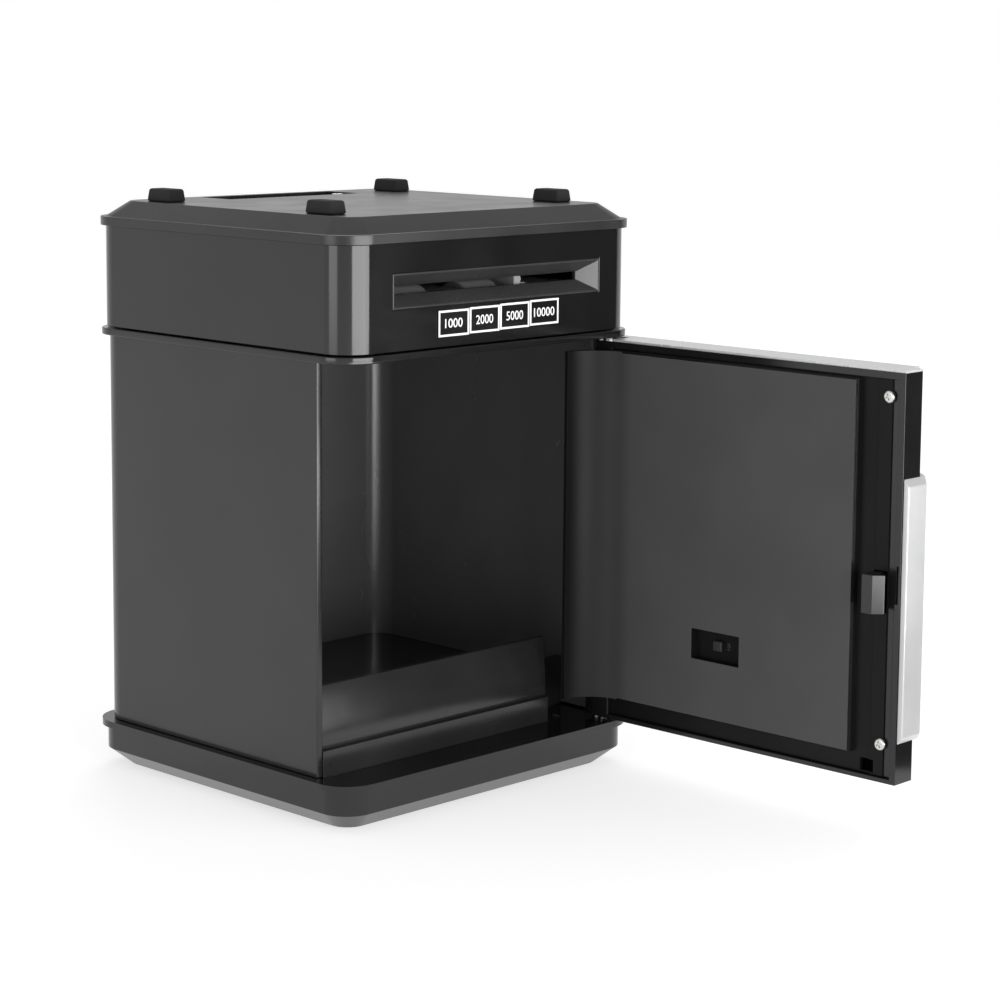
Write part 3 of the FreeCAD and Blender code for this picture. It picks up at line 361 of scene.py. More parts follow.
ZINC = Finish("zinc_screw", (0.72, 0.72, 0.7), (0.62, 0.62, 0.6), (0.22, 0.34), metal=1.0,
              grain=Grain.SPARK, grain_per_m=1500.0, relief=4.0e-6)
STEEL = Finish("ground_steel", (0.55, 0.55, 0.56), (0.62, 0.62, 0.62), (0.2, 0.3), metal=1.0,
               grain=Grain.BRUSHED, grain_per_m=900.0, relief=3.0e-6)
NYLON = Finish("natural_nylon", (0.78, 0.76, 0.7), (0.83, 0.81, 0.76), (0.35, 0.5), relief=4.0e-6)
GREY = Finish("grey_moulded_plastic", (0.22, 0.22, 0.23), (0.27, 0.27, 0.28), (0.4, 0.55),
              grain=Grain.SPECKLE, grain_per_m=1800.0, relief=1.0e-5)
KEY = Finish("key_cap_plastic", (0.018, 0.018, 0.02), (0.024, 0.024, 0.026), (0.3, 0.42),
             grain=Grain.SPECKLE, grain_per_m=2200.0, relief=8.0e-6)
PRINT_WHITE = Finish("white_print", (0.86, 0.86, 0.85), (0.9, 0.9, 0.89), (0.35, 0.5), relief=2.0e-6)
BOARD = Finish("green_board", (0.02, 0.13, 0.05), (0.03, 0.17, 0.07), (0.25, 0.4), relief=4.0e-6)
SLEEVE = Finish("cell_sleeve", (0.03, 0.05, 0.16), (0.04, 0.06, 0.2), (0.15, 0.25), relief=3.0e-6)
LENS_RED = Finish("red_lens", (0.7, 0.03, 0.02), (0.6, 0.02, 0.02), (0.05, 0.1),
                  see_through=0.35, coat=0.5)
LENS_GREEN = Finish("green_lens", (0.04, 0.55, 0.1), (0.03, 0.45, 0.08), (0.05, 0.1),
                    see_through=0.35, coat=0.5)
LENS_AMBER = Finish("amber_lens", (0.85, 0.4, 0.03), (0.8, 0.33, 0.02), (0.05, 0.1),
                    see_through=0.35, coat=0.5)

NODE_FINISH = {
    "base_tray": BLACK_GLOSS, "base_deck": BLACK_GLOSS, "body_shell": BLACK_WALL, "cash_tray": BLACK_TRAY,
    "mid_deck": BLACK_GLOSS, "head_shell": BLACK_GLOSS, "slot_bezel": SLOT_PAINTED_REFLECTION, "top_lid": LID_SATIN,
    "rubber_pads": RUBBER, "cell_cover": BLACK_SATIN, "cell_box": BLACK_SATIN, "cells": SLEEVE,
    "cell_contacts": STEEL, "roller_brackets": GREY, "note_guide": GREY, "drive_motor": ZINC,
    "motor_cradle": GREY, "board_pillars": GREY, "control_board": BOARD, "speaker": BLACK_SATIN,
    "drive_shaft": STEEL, "feed_rollers": ROLLER, "drive_gear": NYLON, "pinch_shaft": STEEL,
    "pinch_rollers": ROLLER, "motor_shaft": STEEL, "motor_pinion": NYLON, "door_frame": BLACK_GLOSS,
    "inner_cover": BLACK_WALL, "cover_screws": ZINC, "base_screws": ZINC, "cell_cover_screw": ZINC,
    "fascia": SILVER_PAINT, "door_grip": BRUSHED, "keypad_membrane": RUBBER, "keypad_board": BOARD,
    "latch_bolt": BLACK_WALL, "latch_solenoid": GREY, "latch_spring": STEEL, "sound_switch": GREY,
    "sound_knob": BLACK_SATIN, "hinge_pin_lower": STEEL, "hinge_pin_upper": STEEL,
    "label_plates": BLACK_GLOSS,
    "lamp_1": LENS_GREEN, "lamp_2": LENS_RED, "lamp_3": LENS_AMBER,
    **{f"key_{number:02d}": KEY for number in range(1, 13)},
}


# ---------------------------------------------------------------- bench work
def deselect() -> None:
    """Leaves edit mode and selects nothing."""
    if bpy.context.object is not None and bpy.context.object.mode != "OBJECT":
        bpy.ops.object.mode_set(mode="OBJECT")
    bpy.ops.object.select_all(action="DESELECT")


def take(piece: bpy.types.Object) -> None:
    """Selects one piece alone and makes it active.

    Args:
        piece: the piece to select.
    """
    deselect()
    piece.select_set(True)
    bpy.context.view_layer.objects.active = piece


def paint(piece: bpy.types.Object, finish: Finish) -> None:
    """Gives a piece one finish all over."""
    piece.data.materials.clear()
    piece.data.materials.append(finish.material())


def settle(piece: bpy.types.Object) -> None:
    """Moves a piece's place into its mesh, so its object sits at the origin."""
    take(piece)
    bpy.ops.object.transform_apply(location=True, rotation=True, scale=True)


def smooth(piece: bpy.types.Object, angle: float) -> None:
    """Shades a piece smooth, with large faces kept flat.

    Args:
        piece: the piece to work on.
        angle: the smallest turn, in degrees, that keeps a crease.
    """
    take(piece)
    bpy.ops.object.shade_smooth_by_angle(angle=math.radians(angle))
    weighted = piece.modifiers.new("even normals", "WEIGHTED_NORMAL")
    weighted.keep_sharp = True
    bpy.ops.object.modifier_apply(modifier=weighted.name)


def soften(piece: bpy.types.Object, width: float, crease: float) -> None:
    """Rounds every sharp edge.

    Args:
        piece: the piece to work on.
        width: the round's width in metres.
        crease: the smallest turn, in degrees, that keeps a crease in the shading.
    """
    take(piece)
    bevel = piece.modifiers.new("soft edges", "BEVEL")
    bevel.limit_method = "ANGLE"
    bevel.angle_limit = math.radians(SHARP_TURN)
    bevel.width = width
    bevel.segments = ROUND_FACES
    bevel.use_clamp_overlap = True
    bpy.ops.object.modifier_apply(modifier=bevel.name)
    smooth(piece, crease)


def refined(node: str, width: float, crease: float = CREASE_TURN) -> bpy.types.Object:
    """A node's own shape with its corners rounded as moulded plastic has them.

    Args:
        node: the node that the new piece stands for.
        width: the round's width in metres.
        crease: the smallest turn, in degrees, that keeps a crease in the shading.

    Returns:
        The new piece, riding on the node's body.
    """
    source = bpy.data.objects[node]
    piece = source.copy()
    piece.data = source.data.copy()
    piece.parent = None
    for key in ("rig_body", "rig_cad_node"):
        if key in piece:
            del piece[key]
    piece.name = node + "_moulded"
    bpy.context.scene.collection.objects.link(piece)
    take(piece)
    bpy.ops.object.mode_set(mode="EDIT")
    bpy.ops.mesh.select_all(action="SELECT")
    bpy.ops.mesh.remove_doubles(threshold=WELD)
    bpy.ops.mesh.dissolve_limited(angle_limit=math.radians(SAME_PLANE))
    bpy.ops.object.mode_set(mode="OBJECT")
    soften(piece, width, crease)
    paint(piece, NODE_FINISH[node])
    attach(piece, source["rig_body"])
    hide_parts(node)
    return piece


def second_finish(piece: bpy.types.Object, finish: Finish,
                  chosen: Callable[[bpy.types.MeshPolygon], bool]) -> None:
    """Gives some of a piece's faces another finish.

    Args:
        piece: the piece to work on.
        finish: the other finish.
        chosen: says whether a face gets it.
    """
    piece.data.materials.append(finish.material())
    index = len(piece.data.materials) - 1
    for face in piece.data.polygons:
        if chosen(face):
            face.material_index = index


def round_edges(piece: bpy.types.Object, width: float, segments: int,
                chosen: Callable[[Vector, Vector], bool]) -> None:
    """Rounds the edges whose two ends are chosen.

    Args:
        piece: the piece to work on.
        width: the round's width in metres.
        segments: faces across the round.
        chosen: says whether the edge between two points is rounded.
    """
    take(piece)
    bpy.ops.object.mode_set(mode="EDIT")
    bpy.ops.mesh.select_mode(type="EDGE")
    bpy.ops.mesh.select_all(action="DESELECT")
    bpy.ops.object.mode_set(mode="OBJECT")
    points = piece.data.vertices
    for edge in piece.data.edges:
        edge.select = chosen(points[edge.vertices[0]].co, points[edge.vertices[1]].co)
    bpy.ops.object.mode_set(mode="EDIT")
    bpy.ops.mesh.bevel(offset=width, segments=segments, affect="EDGES", clamp_overlap=True)
    bpy.ops.mesh.select_mode(type="VERT")
    bpy.ops.object.mode_set(mode="OBJECT")


def placed(piece: bpy.types.Object, matrix: Matrix) -> bpy.types.Object:
    """Moves a piece's mesh by a matrix and leaves its object at the origin.

    Args:
        piece: the piece to move.
        matrix: where it goes.

    Returns:
        The piece.
    """
    piece.matrix_world = matrix @ piece.matrix_world
    settle(piece)
    return piece


def merged(pieces: list[bpy.types.Object], name: str) -> bpy.types.Object:
    """Joins several meshes into one piece.

    Args:
        pieces: the meshes, of which the first takes the others in.
        name: the new name.

    Returns:
        The joined piece.
    """
    deselect()
    for piece in pieces:
        piece.select_set(True)
    bpy.context.view_layer.objects.active = pieces[0]
    bpy.ops.object.join()
    pieces[0].name = name
    return pieces[0]


def fitted(piece: bpy.types.Object, node: str, body: str, finish: Finish,
           stands_for: bool) -> bpy.types.Object:
    """Paints a new piece and ties it to the frame.

    Args:
        piece: the new piece.
        node: the node that it goes with, hidden when the piece stands for it.
        body: the body that it rides on.
        finish: its finish.
        stands_for: whether it is shown instead of the node.

    Returns:
        The piece.
    """
    paint(piece, finish)
    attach(piece, body)
    if stands_for:
        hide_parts(node)
    return piece


def printed(text: str, wide: float, high: float, deep: float) -> bpy.types.Object:
    """Raised characters that face -Y, centred on the origin.

    Args:
        text: generic numbers or signs.
        wide: their overall width in metres.
        high: their overall height in metres.
        deep: how far they stand out in metres.

    Returns:
        The characters as one mesh.
    """
    deselect()
    bpy.ops.object.text_add()
    piece = bpy.context.object
    piece.data.body = text
    piece.data.offset = TEXT_SWELL
    piece.data.extrude = TEXT_DEEP
    piece.data.resolution_u = TEXT_STEPS
    bpy.ops.object.convert(target="MESH")
    piece = bpy.context.object
    low = Vector([min(v.co[i] for v in piece.data.vertices) for i in range(3)])
    top = Vector([max(v.co[i] for v in piece.data.vertices) for i in range(3)])
    size = top - low
    shrink = Matrix.Diagonal((wide / size.x, high / size.y, deep / size.z, 1.0))
    upright = Matrix.Rotation(math.radians(90.0), 4, "X")
    return placed(piece, upright @ shrink @ Matrix.Translation(-(low + top) / 2))


def outline(wide: float, high: float, border: float, deep: float) -> bpy.types.Object:
    """A thin rectangular frame that faces -Y, centred on the origin.

    Args:
        wide: outer width in metres.
        high: outer height in metres.
        border: width of its bars.
        deep: how far it stands out.

    Returns:
        The frame as one mesh.
    """
    deselect()
    bpy.ops.mesh.primitive_plane_add(size=1.0)
    piece = bpy.context.object
    piece.scale = (wide, high, 1.0)
    settle(piece)
    take(piece)
    bpy.ops.object.mode_set(mode="EDIT")
    bpy.ops.mesh.select_all(action="SELECT")
    bpy.ops.mesh.inset(thickness=border)
    bpy.ops.mesh.delete(type="FACE")
    bpy.ops.mesh.select_all(action="SELECT")
    bpy.ops.mesh.extrude_region_move(TRANSFORM_OT_translate={"value": (0.0, 0.0, deep)})
    bpy.ops.mesh.select_all(action="SELECT")
    bpy.ops.mesh.normals_make_consistent(inside=False)
    bpy.ops.object.mode_set(mode="OBJECT")
    return placed(piece, Matrix.Rotation(math.radians(90.0), 4, "X"))


def repeated(pattern: bpy.types.Object, places: list[Matrix]) -> list[bpy.types.Object]:
    """Copies a modelled pattern to several places.

    Args:
        pattern: the piece modelled at the origin, which is used up.
        places: one matrix for each copy.

    Returns:
        The copies, each with its own mesh.
    """
    pieces = []
    for place in places:
        piece = pattern.copy()
        piece.data = pattern.data.copy()
        bpy.context.scene.collection.objects.link(piece)
        piece.matrix_world = place
        settle(piece)
        pieces.append(piece)
    bpy.data.objects.remove(pattern)
    return pieces


@dataclass(frozen=True)
class CrossScrew:
    """A pan head screw with a cross recess: its head's seat is at the origin and it points down.

    The first three are in metres, recess_turn and crease in degrees, and the rest are shares of a size.
    """

    radius: float
    high: float
    shank: float
    head_sides: int = 48
    shank_sides: int = 24
    head_round: float = 0.62
    head_faces: int = 5
    tip_round: float = 0.4
    tip_faces: int = 2
    recess_long: float = 1.15
    recess_wide: float = 0.26
    recess_deep: float = 1.1
    recess_turn: float = 20.0
    near_end: float = 0.9
    round_the_rim: float = 0.5
    crease: float = 35.0

    def model(self, long: float) -> bpy.types.Object:
        """Models the screw.

        Args:
            long: the shank's length in metres.

        Returns:
            The screw as one mesh.
        """
        head = self.head()
        screw = merged([head, self.stem(long)], "cross_screw")
        smooth(screw, self.crease)
        return screw

    def head(self) -> bpy.types.Object:
        """The domed head with its recess cut in.

        Returns:
            The head.
        """
        deselect()
        bpy.ops.mesh.primitive_cylinder_add(vertices=self.head_sides, radius=self.radius, depth=self.high,
                                            location=(0.0, 0.0, self.high / 2))
        head = bpy.context.object
        settle(head)
        rim = self.radius * self.round_the_rim
        round_edges(head, self.high * self.head_round, self.head_faces, lambda a, b: (
            min(a.z, b.z) > self.high * self.near_end and (a - b).length < rim))
        for bar in [self.bar(turn) for turn in (0.0, 90.0)]:
            take(head)
            sink = head.modifiers.new("cross", "BOOLEAN")
            sink.operation = "DIFFERENCE"
            sink.solver = "EXACT"
            sink.object = bar
            bpy.ops.object.modifier_apply(modifier=sink.name)
            bpy.data.objects.remove(bar)
        return head

    def bar(self, turn: float) -> bpy.types.Object:
        """One bar of the cross, turned by an angle in degrees.

        Args:
            turn: the angle from the cross's own first bar.

        Returns:
            The bar, for cutting the recess.
        """
        deselect()
        bpy.ops.mesh.primitive_cube_add(size=1.0, location=(0.0, 0.0, self.high))
        bar = bpy.context.object
        wide = self.radius * self.recess_wide
        bar.scale = (self.radius * self.recess_long, wide, self.high * self.recess_deep)
        bar.rotation_euler = (0.0, 0.0, math.radians(turn + self.recess_turn))
        settle(bar)
        return bar

    def stem(self, long: float) -> bpy.types.Object:
        """The shank with its tip rounded.

        Args:
            long: its length in metres.

        Returns:
            The shank.
        """
        deselect()
        bpy.ops.mesh.primitive_cylinder_add(vertices=self.shank_sides, radius=self.shank, depth=long,
                                            location=(0.0, 0.0, -long / 2))
        stem = bpy.context.object
        settle(stem)
        rim = self.shank * self.round_the_rim
        round_edges(stem, self.shank * self.tip_round, self.tip_faces, lambda a, b: (
            max(a.z, b.z) < -long * self.near_end and (a - b).length < rim))
        return stem


class Hinge:
    """The door's hinge: turns places on the shut door to the open rest place and back."""

    def __init__(self, joints: list[dict]) -> None:
        """Reads the hinge's place and how far open the door rests.

        Args:
            joints: the frame's joints.
        """
        joint = next(j for j in joints if j["name"] == "door_hinge")
        at = Vector((joint["pos_m"][0], joint["pos_m"][1], 0.0))
        angle = math.radians(-joint["range_deg"][0])
        turn = Matrix.Rotation(angle, 4, "Z")
        self.to_open = Matrix.Translation(at) @ turn @ Matrix.Translation(-at)
        self.to_shut = self.to_open.inverted()

    def shut_box(self, node: str) -> tuple[Vector, Vector]:
        """A door node's box with the door shut.

        Args:
            node: the node's name.

        Returns:
            Its lowest and highest corners.
        """
        points = [self.to_shut @ v.co for v in bpy.data.objects[node].data.vertices]
        low = Vector([min(p[i] for p in points) for i in range(3)])
        high = Vector([max(p[i] for p in points) for i in range(3)])
        return low, high


# ---------------------------------------------------------------- studio
@dataclass
class Studio:
    """Camera, lights, floor and surroundings."""

    camera_at: tuple[float, float, float] = (-0.6000, -0.6511, 0.2437)
    heading: float = 45.62
    down_tilt: float = 7.65
    roll: float = 0.46
    lens: float = 96.1
    shift: tuple[float, float] = (-0.0013, -0.1025)
    aim_high: float = 0.15
    floor_side: float = 60.0
    floor_tone: float = 0.6
    floor_glow: float = 0.62
    overhead: tuple[float, float, float, float] = (0.1, 0.8, 1.0, 0.7)
    cloth_tone: float = 0.02
    card_heading: float = 45.0

    def build(self) -> None:
        """Sets up everything that isn't the bank."""
        self.camera()
        self.floor()
        self.world()
        self.lights()
        bpy.context.scene.view_settings.view_transform = "Standard"

    def camera(self) -> None:
        """The camera, from its heading, tilt and roll in degrees."""
        data = bpy.data.cameras.new("camera")
        data.lens = self.lens
        data.shift_x, data.shift_y = self.shift
        data.clip_start, data.clip_end = 0.01, 100.0
        data.dof.use_dof = False
        camera = bpy.data.objects.new("camera", data)
        bpy.context.scene.collection.objects.link(camera)
        camera.location = self.camera_at
        turn = Euler((math.radians(90.0 - self.down_tilt), 0.0, math.radians(-self.heading))).to_matrix()
        lean = Matrix.Rotation(math.radians(self.roll), 3, "Z")
        camera.rotation_euler = (turn @ lean).to_euler()
        bpy.context.scene.camera = camera

    def floor(self) -> None:
        """A wide pale floor under the bank."""
        deselect()
        bpy.ops.mesh.primitive_plane_add(size=self.floor_side, location=(0.0, 0.0, 0.0))
        floor = bpy.context.object
        floor.name = "floor"
        nodes = Nodes("pale_floor")
        nodes.shader.inputs["Base Color"].default_value = (*[self.floor_tone] * 3, 1.0)
        nodes.shader.inputs["Roughness"].default_value = 0.9
        nodes.shader.inputs["Specular IOR Level"].default_value = 0.1
        nodes.shader.inputs["Emission Color"].default_value = (1.0, 1.0, 1.0, 1.0)
        nodes.shader.inputs["Emission Strength"].default_value = self.floor_glow
        floor.data.materials.append(nodes.material)

    def world(self) -> None:
        """Even white surroundings, a little dimmer overhead."""
        world = bpy.data.worlds.new("studio")
        bpy.context.scene.world = world
        world.use_nodes = True
        tree = world.node_tree
        tree.nodes.clear()
        out = tree.nodes.new("ShaderNodeOutputWorld")
        coordinates = tree.nodes.new("ShaderNodeTexCoord")
        split = tree.nodes.new("ShaderNodeSeparateXYZ")
        fade = tree.nodes.new("ShaderNodeMapRange")
        fade.interpolation_type = "SMOOTHSTEP"
        for key, value in zip(("From Min", "From Max", "To Min", "To Max"), self.overhead):
            fade.inputs[key].default_value = value
        around = tree.nodes.new("ShaderNodeBackground")
        seen = tree.nodes.new("ShaderNodeBackground")
        seen.inputs["Color"].default_value = (1.0, 1.0, 1.0, 1.0)
        path = tree.nodes.new("ShaderNodeLightPath")
        mix = tree.nodes.new("ShaderNodeMixShader")
        links = tree.links
        links.new(coordinates.outputs["Generated"], split.inputs[0])
        links.new(split.outputs["Z"], fade.inputs["Value"])
        links.new(fade.outputs["Result"], around.inputs["Strength"])
        links.new(path.outputs["Is Camera Ray"], mix.inputs["Fac"])
        links.new(around.outputs["Background"], mix.inputs[1])
        links.new(seen.outputs["Background"], mix.inputs[2])
        links.new(mix.outputs["Shader"], out.inputs["Surface"])

    def lights(self) -> None:
        """Soft boxes in front, on the left and behind, and dark cards to the front right."""
        self.area("front_box", (0.08, -0.98, 0.15), (1.25, 0.28), 7.5)
        self.area("left_box", (-1.3, 0.05, 0.2), (0.7, 0.4), 2.4)
        self.area("back_box", (0.75, 0.79, 1.19), (0.6, 0.6), 3.4)
        self.card("dark_card", (0.78, -0.80, 0.5), (1.0, 1.0), 90.0)
        self.card("dark_sheet", (0.46, -0.52, 0.0006), (0.45, 0.9), 0.0)
        self.glow((0.0, -0.72, 0.0012), (0.9, 0.5), 7.0)

    def card(self, name: str, at: tuple[float, float, float], size: tuple[float, float], tip: float) -> None:
        """A dark card, turned to face the bank, that only reflections see.

        Args:
            name: the card's name.
            at: its centre.
            size: its two sides in metres.
            tip: how far it is tipped up from lying flat, in degrees.
        """
        deselect()
        bpy.ops.mesh.primitive_plane_add(size=1.0)
        card = bpy.context.object
        card.name = name
        card.scale = (*size, 1.0)
        card.rotation_euler = (math.radians(tip), 0.0, math.radians(self.card_heading))
        card.location = at
        nodes = Nodes(name + "_cloth")
        nodes.shader.inputs["Base Color"].default_value = (*[self.cloth_tone] * 3, 1.0)
        nodes.shader.inputs["Roughness"].default_value = 1.0
        nodes.shader.inputs["Specular IOR Level"].default_value = 0.0
        card.data.materials.append(nodes.material)
        self.reflected_only(card)

    def glow(self, at: tuple[float, float, float], size: tuple[float, float], strength: float) -> None:
        """A bright sheet lying in front of the bank that only reflections see.

        Args:
            at: its centre.
            size: its two sides in metres.
            strength: how bright it is.
        """
        deselect()
        bpy.ops.mesh.primitive_plane_add(size=1.0, location=at)
        sheet = bpy.context.object
        sheet.name = "bright_sheet"
        sheet.scale = (*size, 1.0)
        nodes = Nodes("bright_sheet_cloth")
        nodes.shader.inputs["Base Color"].default_value = (0.0, 0.0, 0.0, 1.0)
        nodes.shader.inputs["Emission Color"].default_value = (1.0, 1.0, 1.0, 1.0)
        nodes.shader.inputs["Emission Strength"].default_value = strength
        sheet.data.materials.append(nodes.material)
        self.reflected_only(sheet)

    def reflected_only(self, sheet: bpy.types.Object) -> None:
        """Hides a sheet from everything but reflections.

        Args:
            sheet: the sheet to hide.
        """
        sheet.visible_camera = False
        sheet.visible_diffuse = False
        sheet.visible_shadow = False

    def area(self, name: str, at: tuple[float, float, float], size: tuple[float, float],
             power: float) -> None:
        """A rectangular soft light that points at the bank.

        Args:
            name: the light's name.
            at: its centre.
            size: its two sides in metres.
            power: its power in watts.
        """
        data = bpy.data.lights.new(name, "AREA")
        data.shape = "RECTANGLE"
        data.size, data.size_y = size
        data.energy = power
        lamp = bpy.data.objects.new(name, data)
        lamp.visible_camera = False
        bpy.context.scene.collection.objects.link(lamp)
        lamp.location = at
        aim = Vector((0.0, 0.0, self.aim_high)) - Vector(at)
        lamp.rotation_euler = aim.to_track_quat("-Z", "Y").to_euler()


# ---------------------------------------------------------------- the bank
@dataclass
class Cabinet:
    """The standing shells: base, walls, tray, decks, head and lid."""

    rounds: dict[str, float] = field(default_factory=lambda: {
        "base_tray": 0.0005, "base_deck": 0.0003, "body_shell": 0.0004, "cash_tray": 0.0004,
        "mid_deck": 0.0007, "head_shell": 0.0003, "slot_bezel": 0.0002, "top_lid": 0.0006,
        "rubber_pads": 0.0007, "cell_cover": 0.0003, "feed_rollers": 0.0006, "pinch_rollers": 0.0004,
    })
    wall: float = 0.0024
    inner_margin: float = 0.0002
    upright: float = 0.5

    def build(self) -> list[bpy.types.Object]:
        """Makes every shell with its rounds.

        Returns:
            The shells.
        """
        pieces = [refined(node, width) for node, width in self.rounds.items()]
        self.paint_light_inside_walls(bpy.data.objects["body_shell_moulded"])
        return pieces

    def paint_light_inside_walls(self, shell: bpy.types.Object) -> None:
        """Gives the inside of the walls a duller finish with painted light: a much lighter tone of the same
        black plastic, so that they look lit.

        Args:
            shell: the rounded walls.
        """
        low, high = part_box("body_shell")
        edge = self.wall - self.inner_margin
        second_finish(shell, INSIDE_WALLS_PAINTED_LIGHT, lambda face: (
            low.x + edge < face.center.x < high.x - edge and face.center.y < high.y - edge
            and abs(face.normal.z) < self.upright and face.center.y > low.y + self.inner_margin))


@dataclass
class Labels:
    """The four number labels under the note slot."""

    numbers: tuple[str, ...] = ("1000", "2000", "5000", "10000")
    pitch: float = 0.0136
    gap: float = 0.0003
    rise: float = 0.00025
    high: float = 0.0082
    border: float = 0.00065
    relief: float = 0.0001
    digit_wide: float = 0.0019
    digit_high: float = 0.0029

    def build(self) -> list[bpy.types.Object]:
        """Prints a white frame and a number on each label.

        Returns:
            The prints, one for each label.
        """
        low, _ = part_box("label_plates")
        wide = self.pitch - self.gap
        room = wide - 4.0 * self.border
        pattern = outline(wide, self.high, self.border, self.relief)
        borders = repeated(pattern, [Matrix() for _ in self.numbers])
        pieces = []
        for i, (number, border) in enumerate(zip(self.numbers, borders)):
            middle = Vector((low.x + i * self.pitch + wide / 2, low.y,
                             low.z + i * self.rise + self.high / 2))
            digits = printed(number, min(room, self.digit_wide * len(number)), self.digit_high, self.relief)
            print_ = merged([border, digits], f"label_print_{i + 1}")
            placed(print_, Matrix.Translation(middle))
            pieces.append(fitted(print_, "label_plates", "cabinet", PRINT_WHITE, False))
        return pieces


@dataclass
class Door:
    """The hinged door with everything it carries."""

    hinge: Hinge
    rounds: dict[str, float] = field(default_factory=lambda: {
        "door_frame": 0.0004, "fascia": 0.0003, "door_grip": 0.0004,
        "latch_bolt": 0.0003, "sound_knob": 0.0003, "keypad_membrane": 0.0002,
    })
    cover_round: float = 0.00015
    cover_crease: float = 20.0
    pan_slack: float = 0.0002
    flange_below: float = 0.0013
    ridge_near: float = 0.0052
    faces_inwards: float = 0.99

    def build(self) -> list[bpy.types.Object]:
        """Makes the door's shells with their rounds.

        Returns:
            The shells and the inner cover.
        """
        pieces = [refined(node, width) for node, width in self.rounds.items()]
        pieces.append(self.cover())
        return pieces

    def cover(self) -> bpy.types.Object:
        """The inner cover: a finely textured raised pan and guard, and a dull flange inside the ridge. The
        pan is painted lighter as painted light, and it darkens to a painted shade towards the hinge.

        Returns:
            The cover.
        """
        to_shut = self.hinge.to_shut
        top = self.pan_level()
        low, _ = self.hinge.shut_box("door_frame")
        edge = low.x + self.ridge_near
        cover = refined("inner_cover", self.cover_round, self.cover_crease)
        # Painted light and shade: the pan's faces get the lighter pan tone, which darkens to a painted shade
        # towards the hinge.
        second_finish(cover, PAN_PAINTED_LIGHT_AND_SHADE, lambda face: (to_shut @ face.center).y > top - self.pan_slack)
        second_finish(cover, BLACK_RIM, lambda face: (
            top - self.flange_below < (to_shut @ face.center).y < top - self.pan_slack))
        second_finish(cover, BLACK_FLANGE, lambda face: (
            (to_shut @ face.center).y < top - self.flange_below and (to_shut @ face.center).x > edge))
        return cover

    def pan_level(self) -> float:
        """How far in the pan's flat face lies, with the door shut.

        Returns:
            The level along Y of the largest flat that faces inwards.
        """
        to_shut = self.hinge.to_shut
        mesh = bpy.data.objects["inner_cover"].data
        areas: dict[float, float] = {}
        for face in mesh.polygons:
            centre = to_shut @ face.center
            if (to_shut.to_3x3() @ face.normal).y > self.faces_inwards:
                key = round(centre.y, 4)
                areas[key] = areas.get(key, 0.0) + face.area
        return max(areas, key=areas.get)


@dataclass
class Keypad:
    """The key caps with their printed signs."""

    hinge: Hinge
    signs: tuple[str, ...] = ("1", "2", "3", "4", "5", "6", "7", "8", "9", "*", "0", "#")
    cap_round: float = 0.0003
    sign_high: float = 0.0042
    sign_wide: float = 0.0026
    thin: tuple[str, ...] = ("1",)
    thin_share: float = 0.5
    square: tuple[str, ...] = ("*",)
    relief: float = 0.00008

    def build(self) -> list[bpy.types.Object]:
        """Makes each cap and prints its sign.

        Returns:
            The caps and their signs.
        """
        pieces = []
        for i, sign in enumerate(self.signs):
            node = f"key_{i + 1:02d}"
            pieces.append(refined(node, self.cap_round))
            low, high = self.hinge.shut_box(node)
            wide = self.sign_wide * (self.thin_share if sign in self.thin else 1.0)
            tall = self.sign_wide if sign in self.square else self.sign_high
            mark = printed(sign, wide, tall, self.relief)
            middle = Vector(((low.x + high.x) / 2, low.y, (low.z + high.z) / 2))
            placed(mark, self.hinge.to_open @ Matrix.Translation(middle))
            mark.name = node + "_sign"
            pieces.append(fitted(mark, node, node + "_cap", PRINT_WHITE, False))
        return pieces


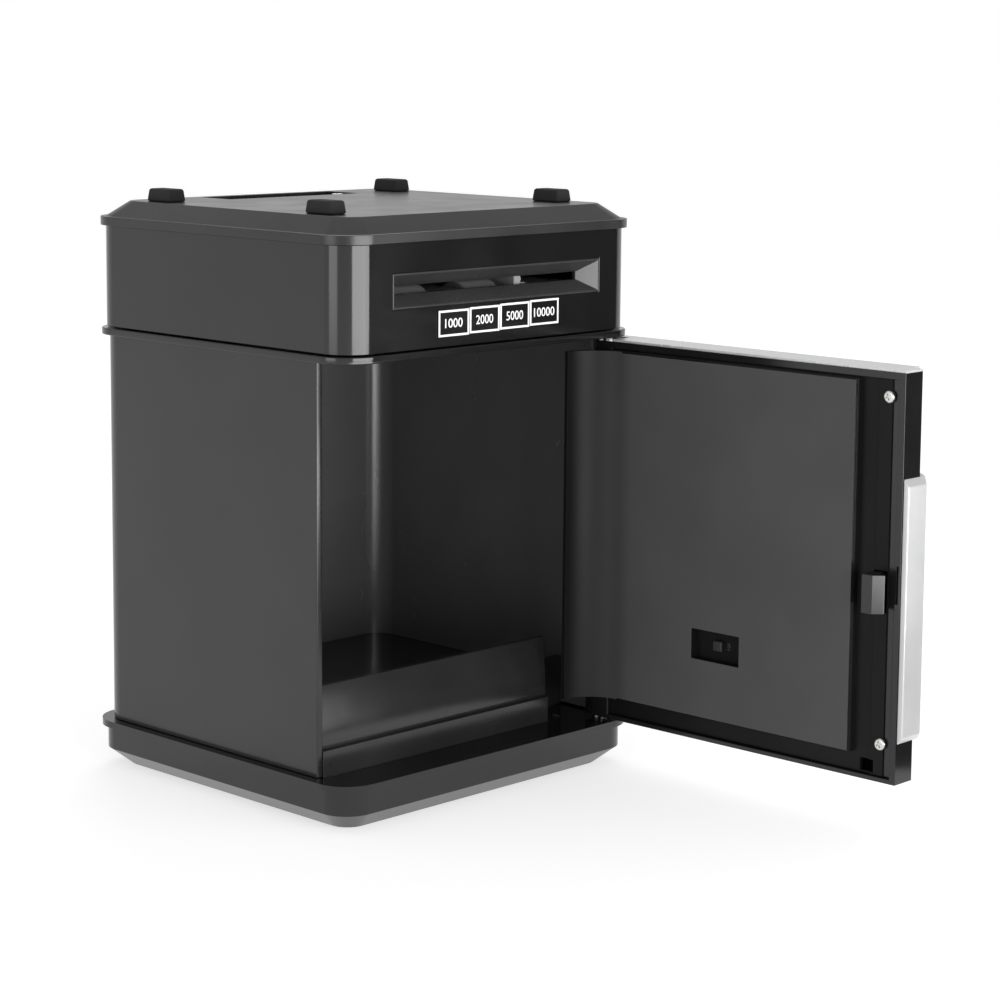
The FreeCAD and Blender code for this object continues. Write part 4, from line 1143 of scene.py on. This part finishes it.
@dataclass
class Screws:
    """Every visible screw, with its cross recess."""

    hinge: Hinge
    cover_size: CrossScrew = CrossScrew(radius=0.002, high=0.0011, shank=0.0011)
    base_size: CrossScrew = CrossScrew(radius=0.0028, high=0.002, shank=0.0015)
    cell_size: CrossScrew = CrossScrew(radius=0.002, high=0.0008, shank=0.0011)

    def build(self) -> list[bpy.types.Object]:
        """Makes the screws of the inner cover, the base and the cell cover."""
        return [self.cover_screws(), self.base_screws(), self.cell_screw()]

    def cover_screws(self) -> bpy.types.Object:
        """The two screws of the inner cover, which face inwards.

        Returns:
            Both screws as one piece.
        """
        low, high = self.hinge.shut_box("cover_screws")
        size = self.cover_size
        seat = high.y - size.high
        x = (low.x + high.x) / 2
        lay = Matrix.Rotation(math.radians(-90.0), 4, "X")
        places = [self.hinge.to_open @ (Matrix.Translation((x, seat, z)) @ lay)
                  for z in (low.z + size.radius, high.z - size.radius)]
        group = repeated(size.model(seat - low.y), places)
        return fitted(merged(group, "cover_screws_cross"), "cover_screws", "door", ZINC, True)

    def base_screws(self) -> bpy.types.Object:
        """The four screws under the base, which point up.

        Returns:
            All four screws as one piece.
        """
        low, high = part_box("base_screws")
        size = self.base_size
        flip = Matrix.Rotation(math.radians(180.0), 4, "X")
        places = [Matrix.Translation((x, y, low.z + size.high)) @ flip
                  for x in (low.x + size.radius, high.x - size.radius)
                  for y in (low.y + size.radius, high.y - size.radius)]
        group = repeated(size.model(high.z - low.z - size.high), places)
        return fitted(merged(group, "base_screws_cross"), "base_screws", "cabinet", ZINC, True)

    def cell_screw(self) -> bpy.types.Object:
        """The screw of the cell cover.

        Returns:
            The screw.
        """
        low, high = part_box("cell_cover_screw")
        size = self.cell_size
        seat = high.z - size.high
        middle = Vector(((low.x + high.x) / 2, (low.y + high.y) / 2, seat))
        screw = placed(size.model(seat - low.z), Matrix.Translation(middle))
        screw.name = "cell_cover_screw_cross"
        return fitted(screw, "cell_cover_screw", "cabinet", ZINC, True)


def dress_nodes(frame: dict) -> None:
    """Gives each node that stays in view its finish.

    Args:
        frame: the loaded frame, with its nodes by name.
    """
    for name, node in frame["nodes"].items():
        if name in NODE_FINISH and not node.hide_render:
            paint(node, NODE_FINISH[name])


def main() -> None:
    """Loads the bank and dresses it, sub-assembly by sub-assembly."""
    logging.basicConfig(level=logging.INFO)
    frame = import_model()
    Studio().build()
    hinge = Hinge(frame["joints"])
    for assembly in (Cabinet(), Labels(), Door(hinge), Keypad(hinge), Screws(hinge)):
        for piece in assembly.build():
            LOG.info("%s: %s, %d faces", type(assembly).__name__, piece.name, len(piece.data.polygons))
    dress_nodes(frame)


if __name__ == "__main__":
    main()
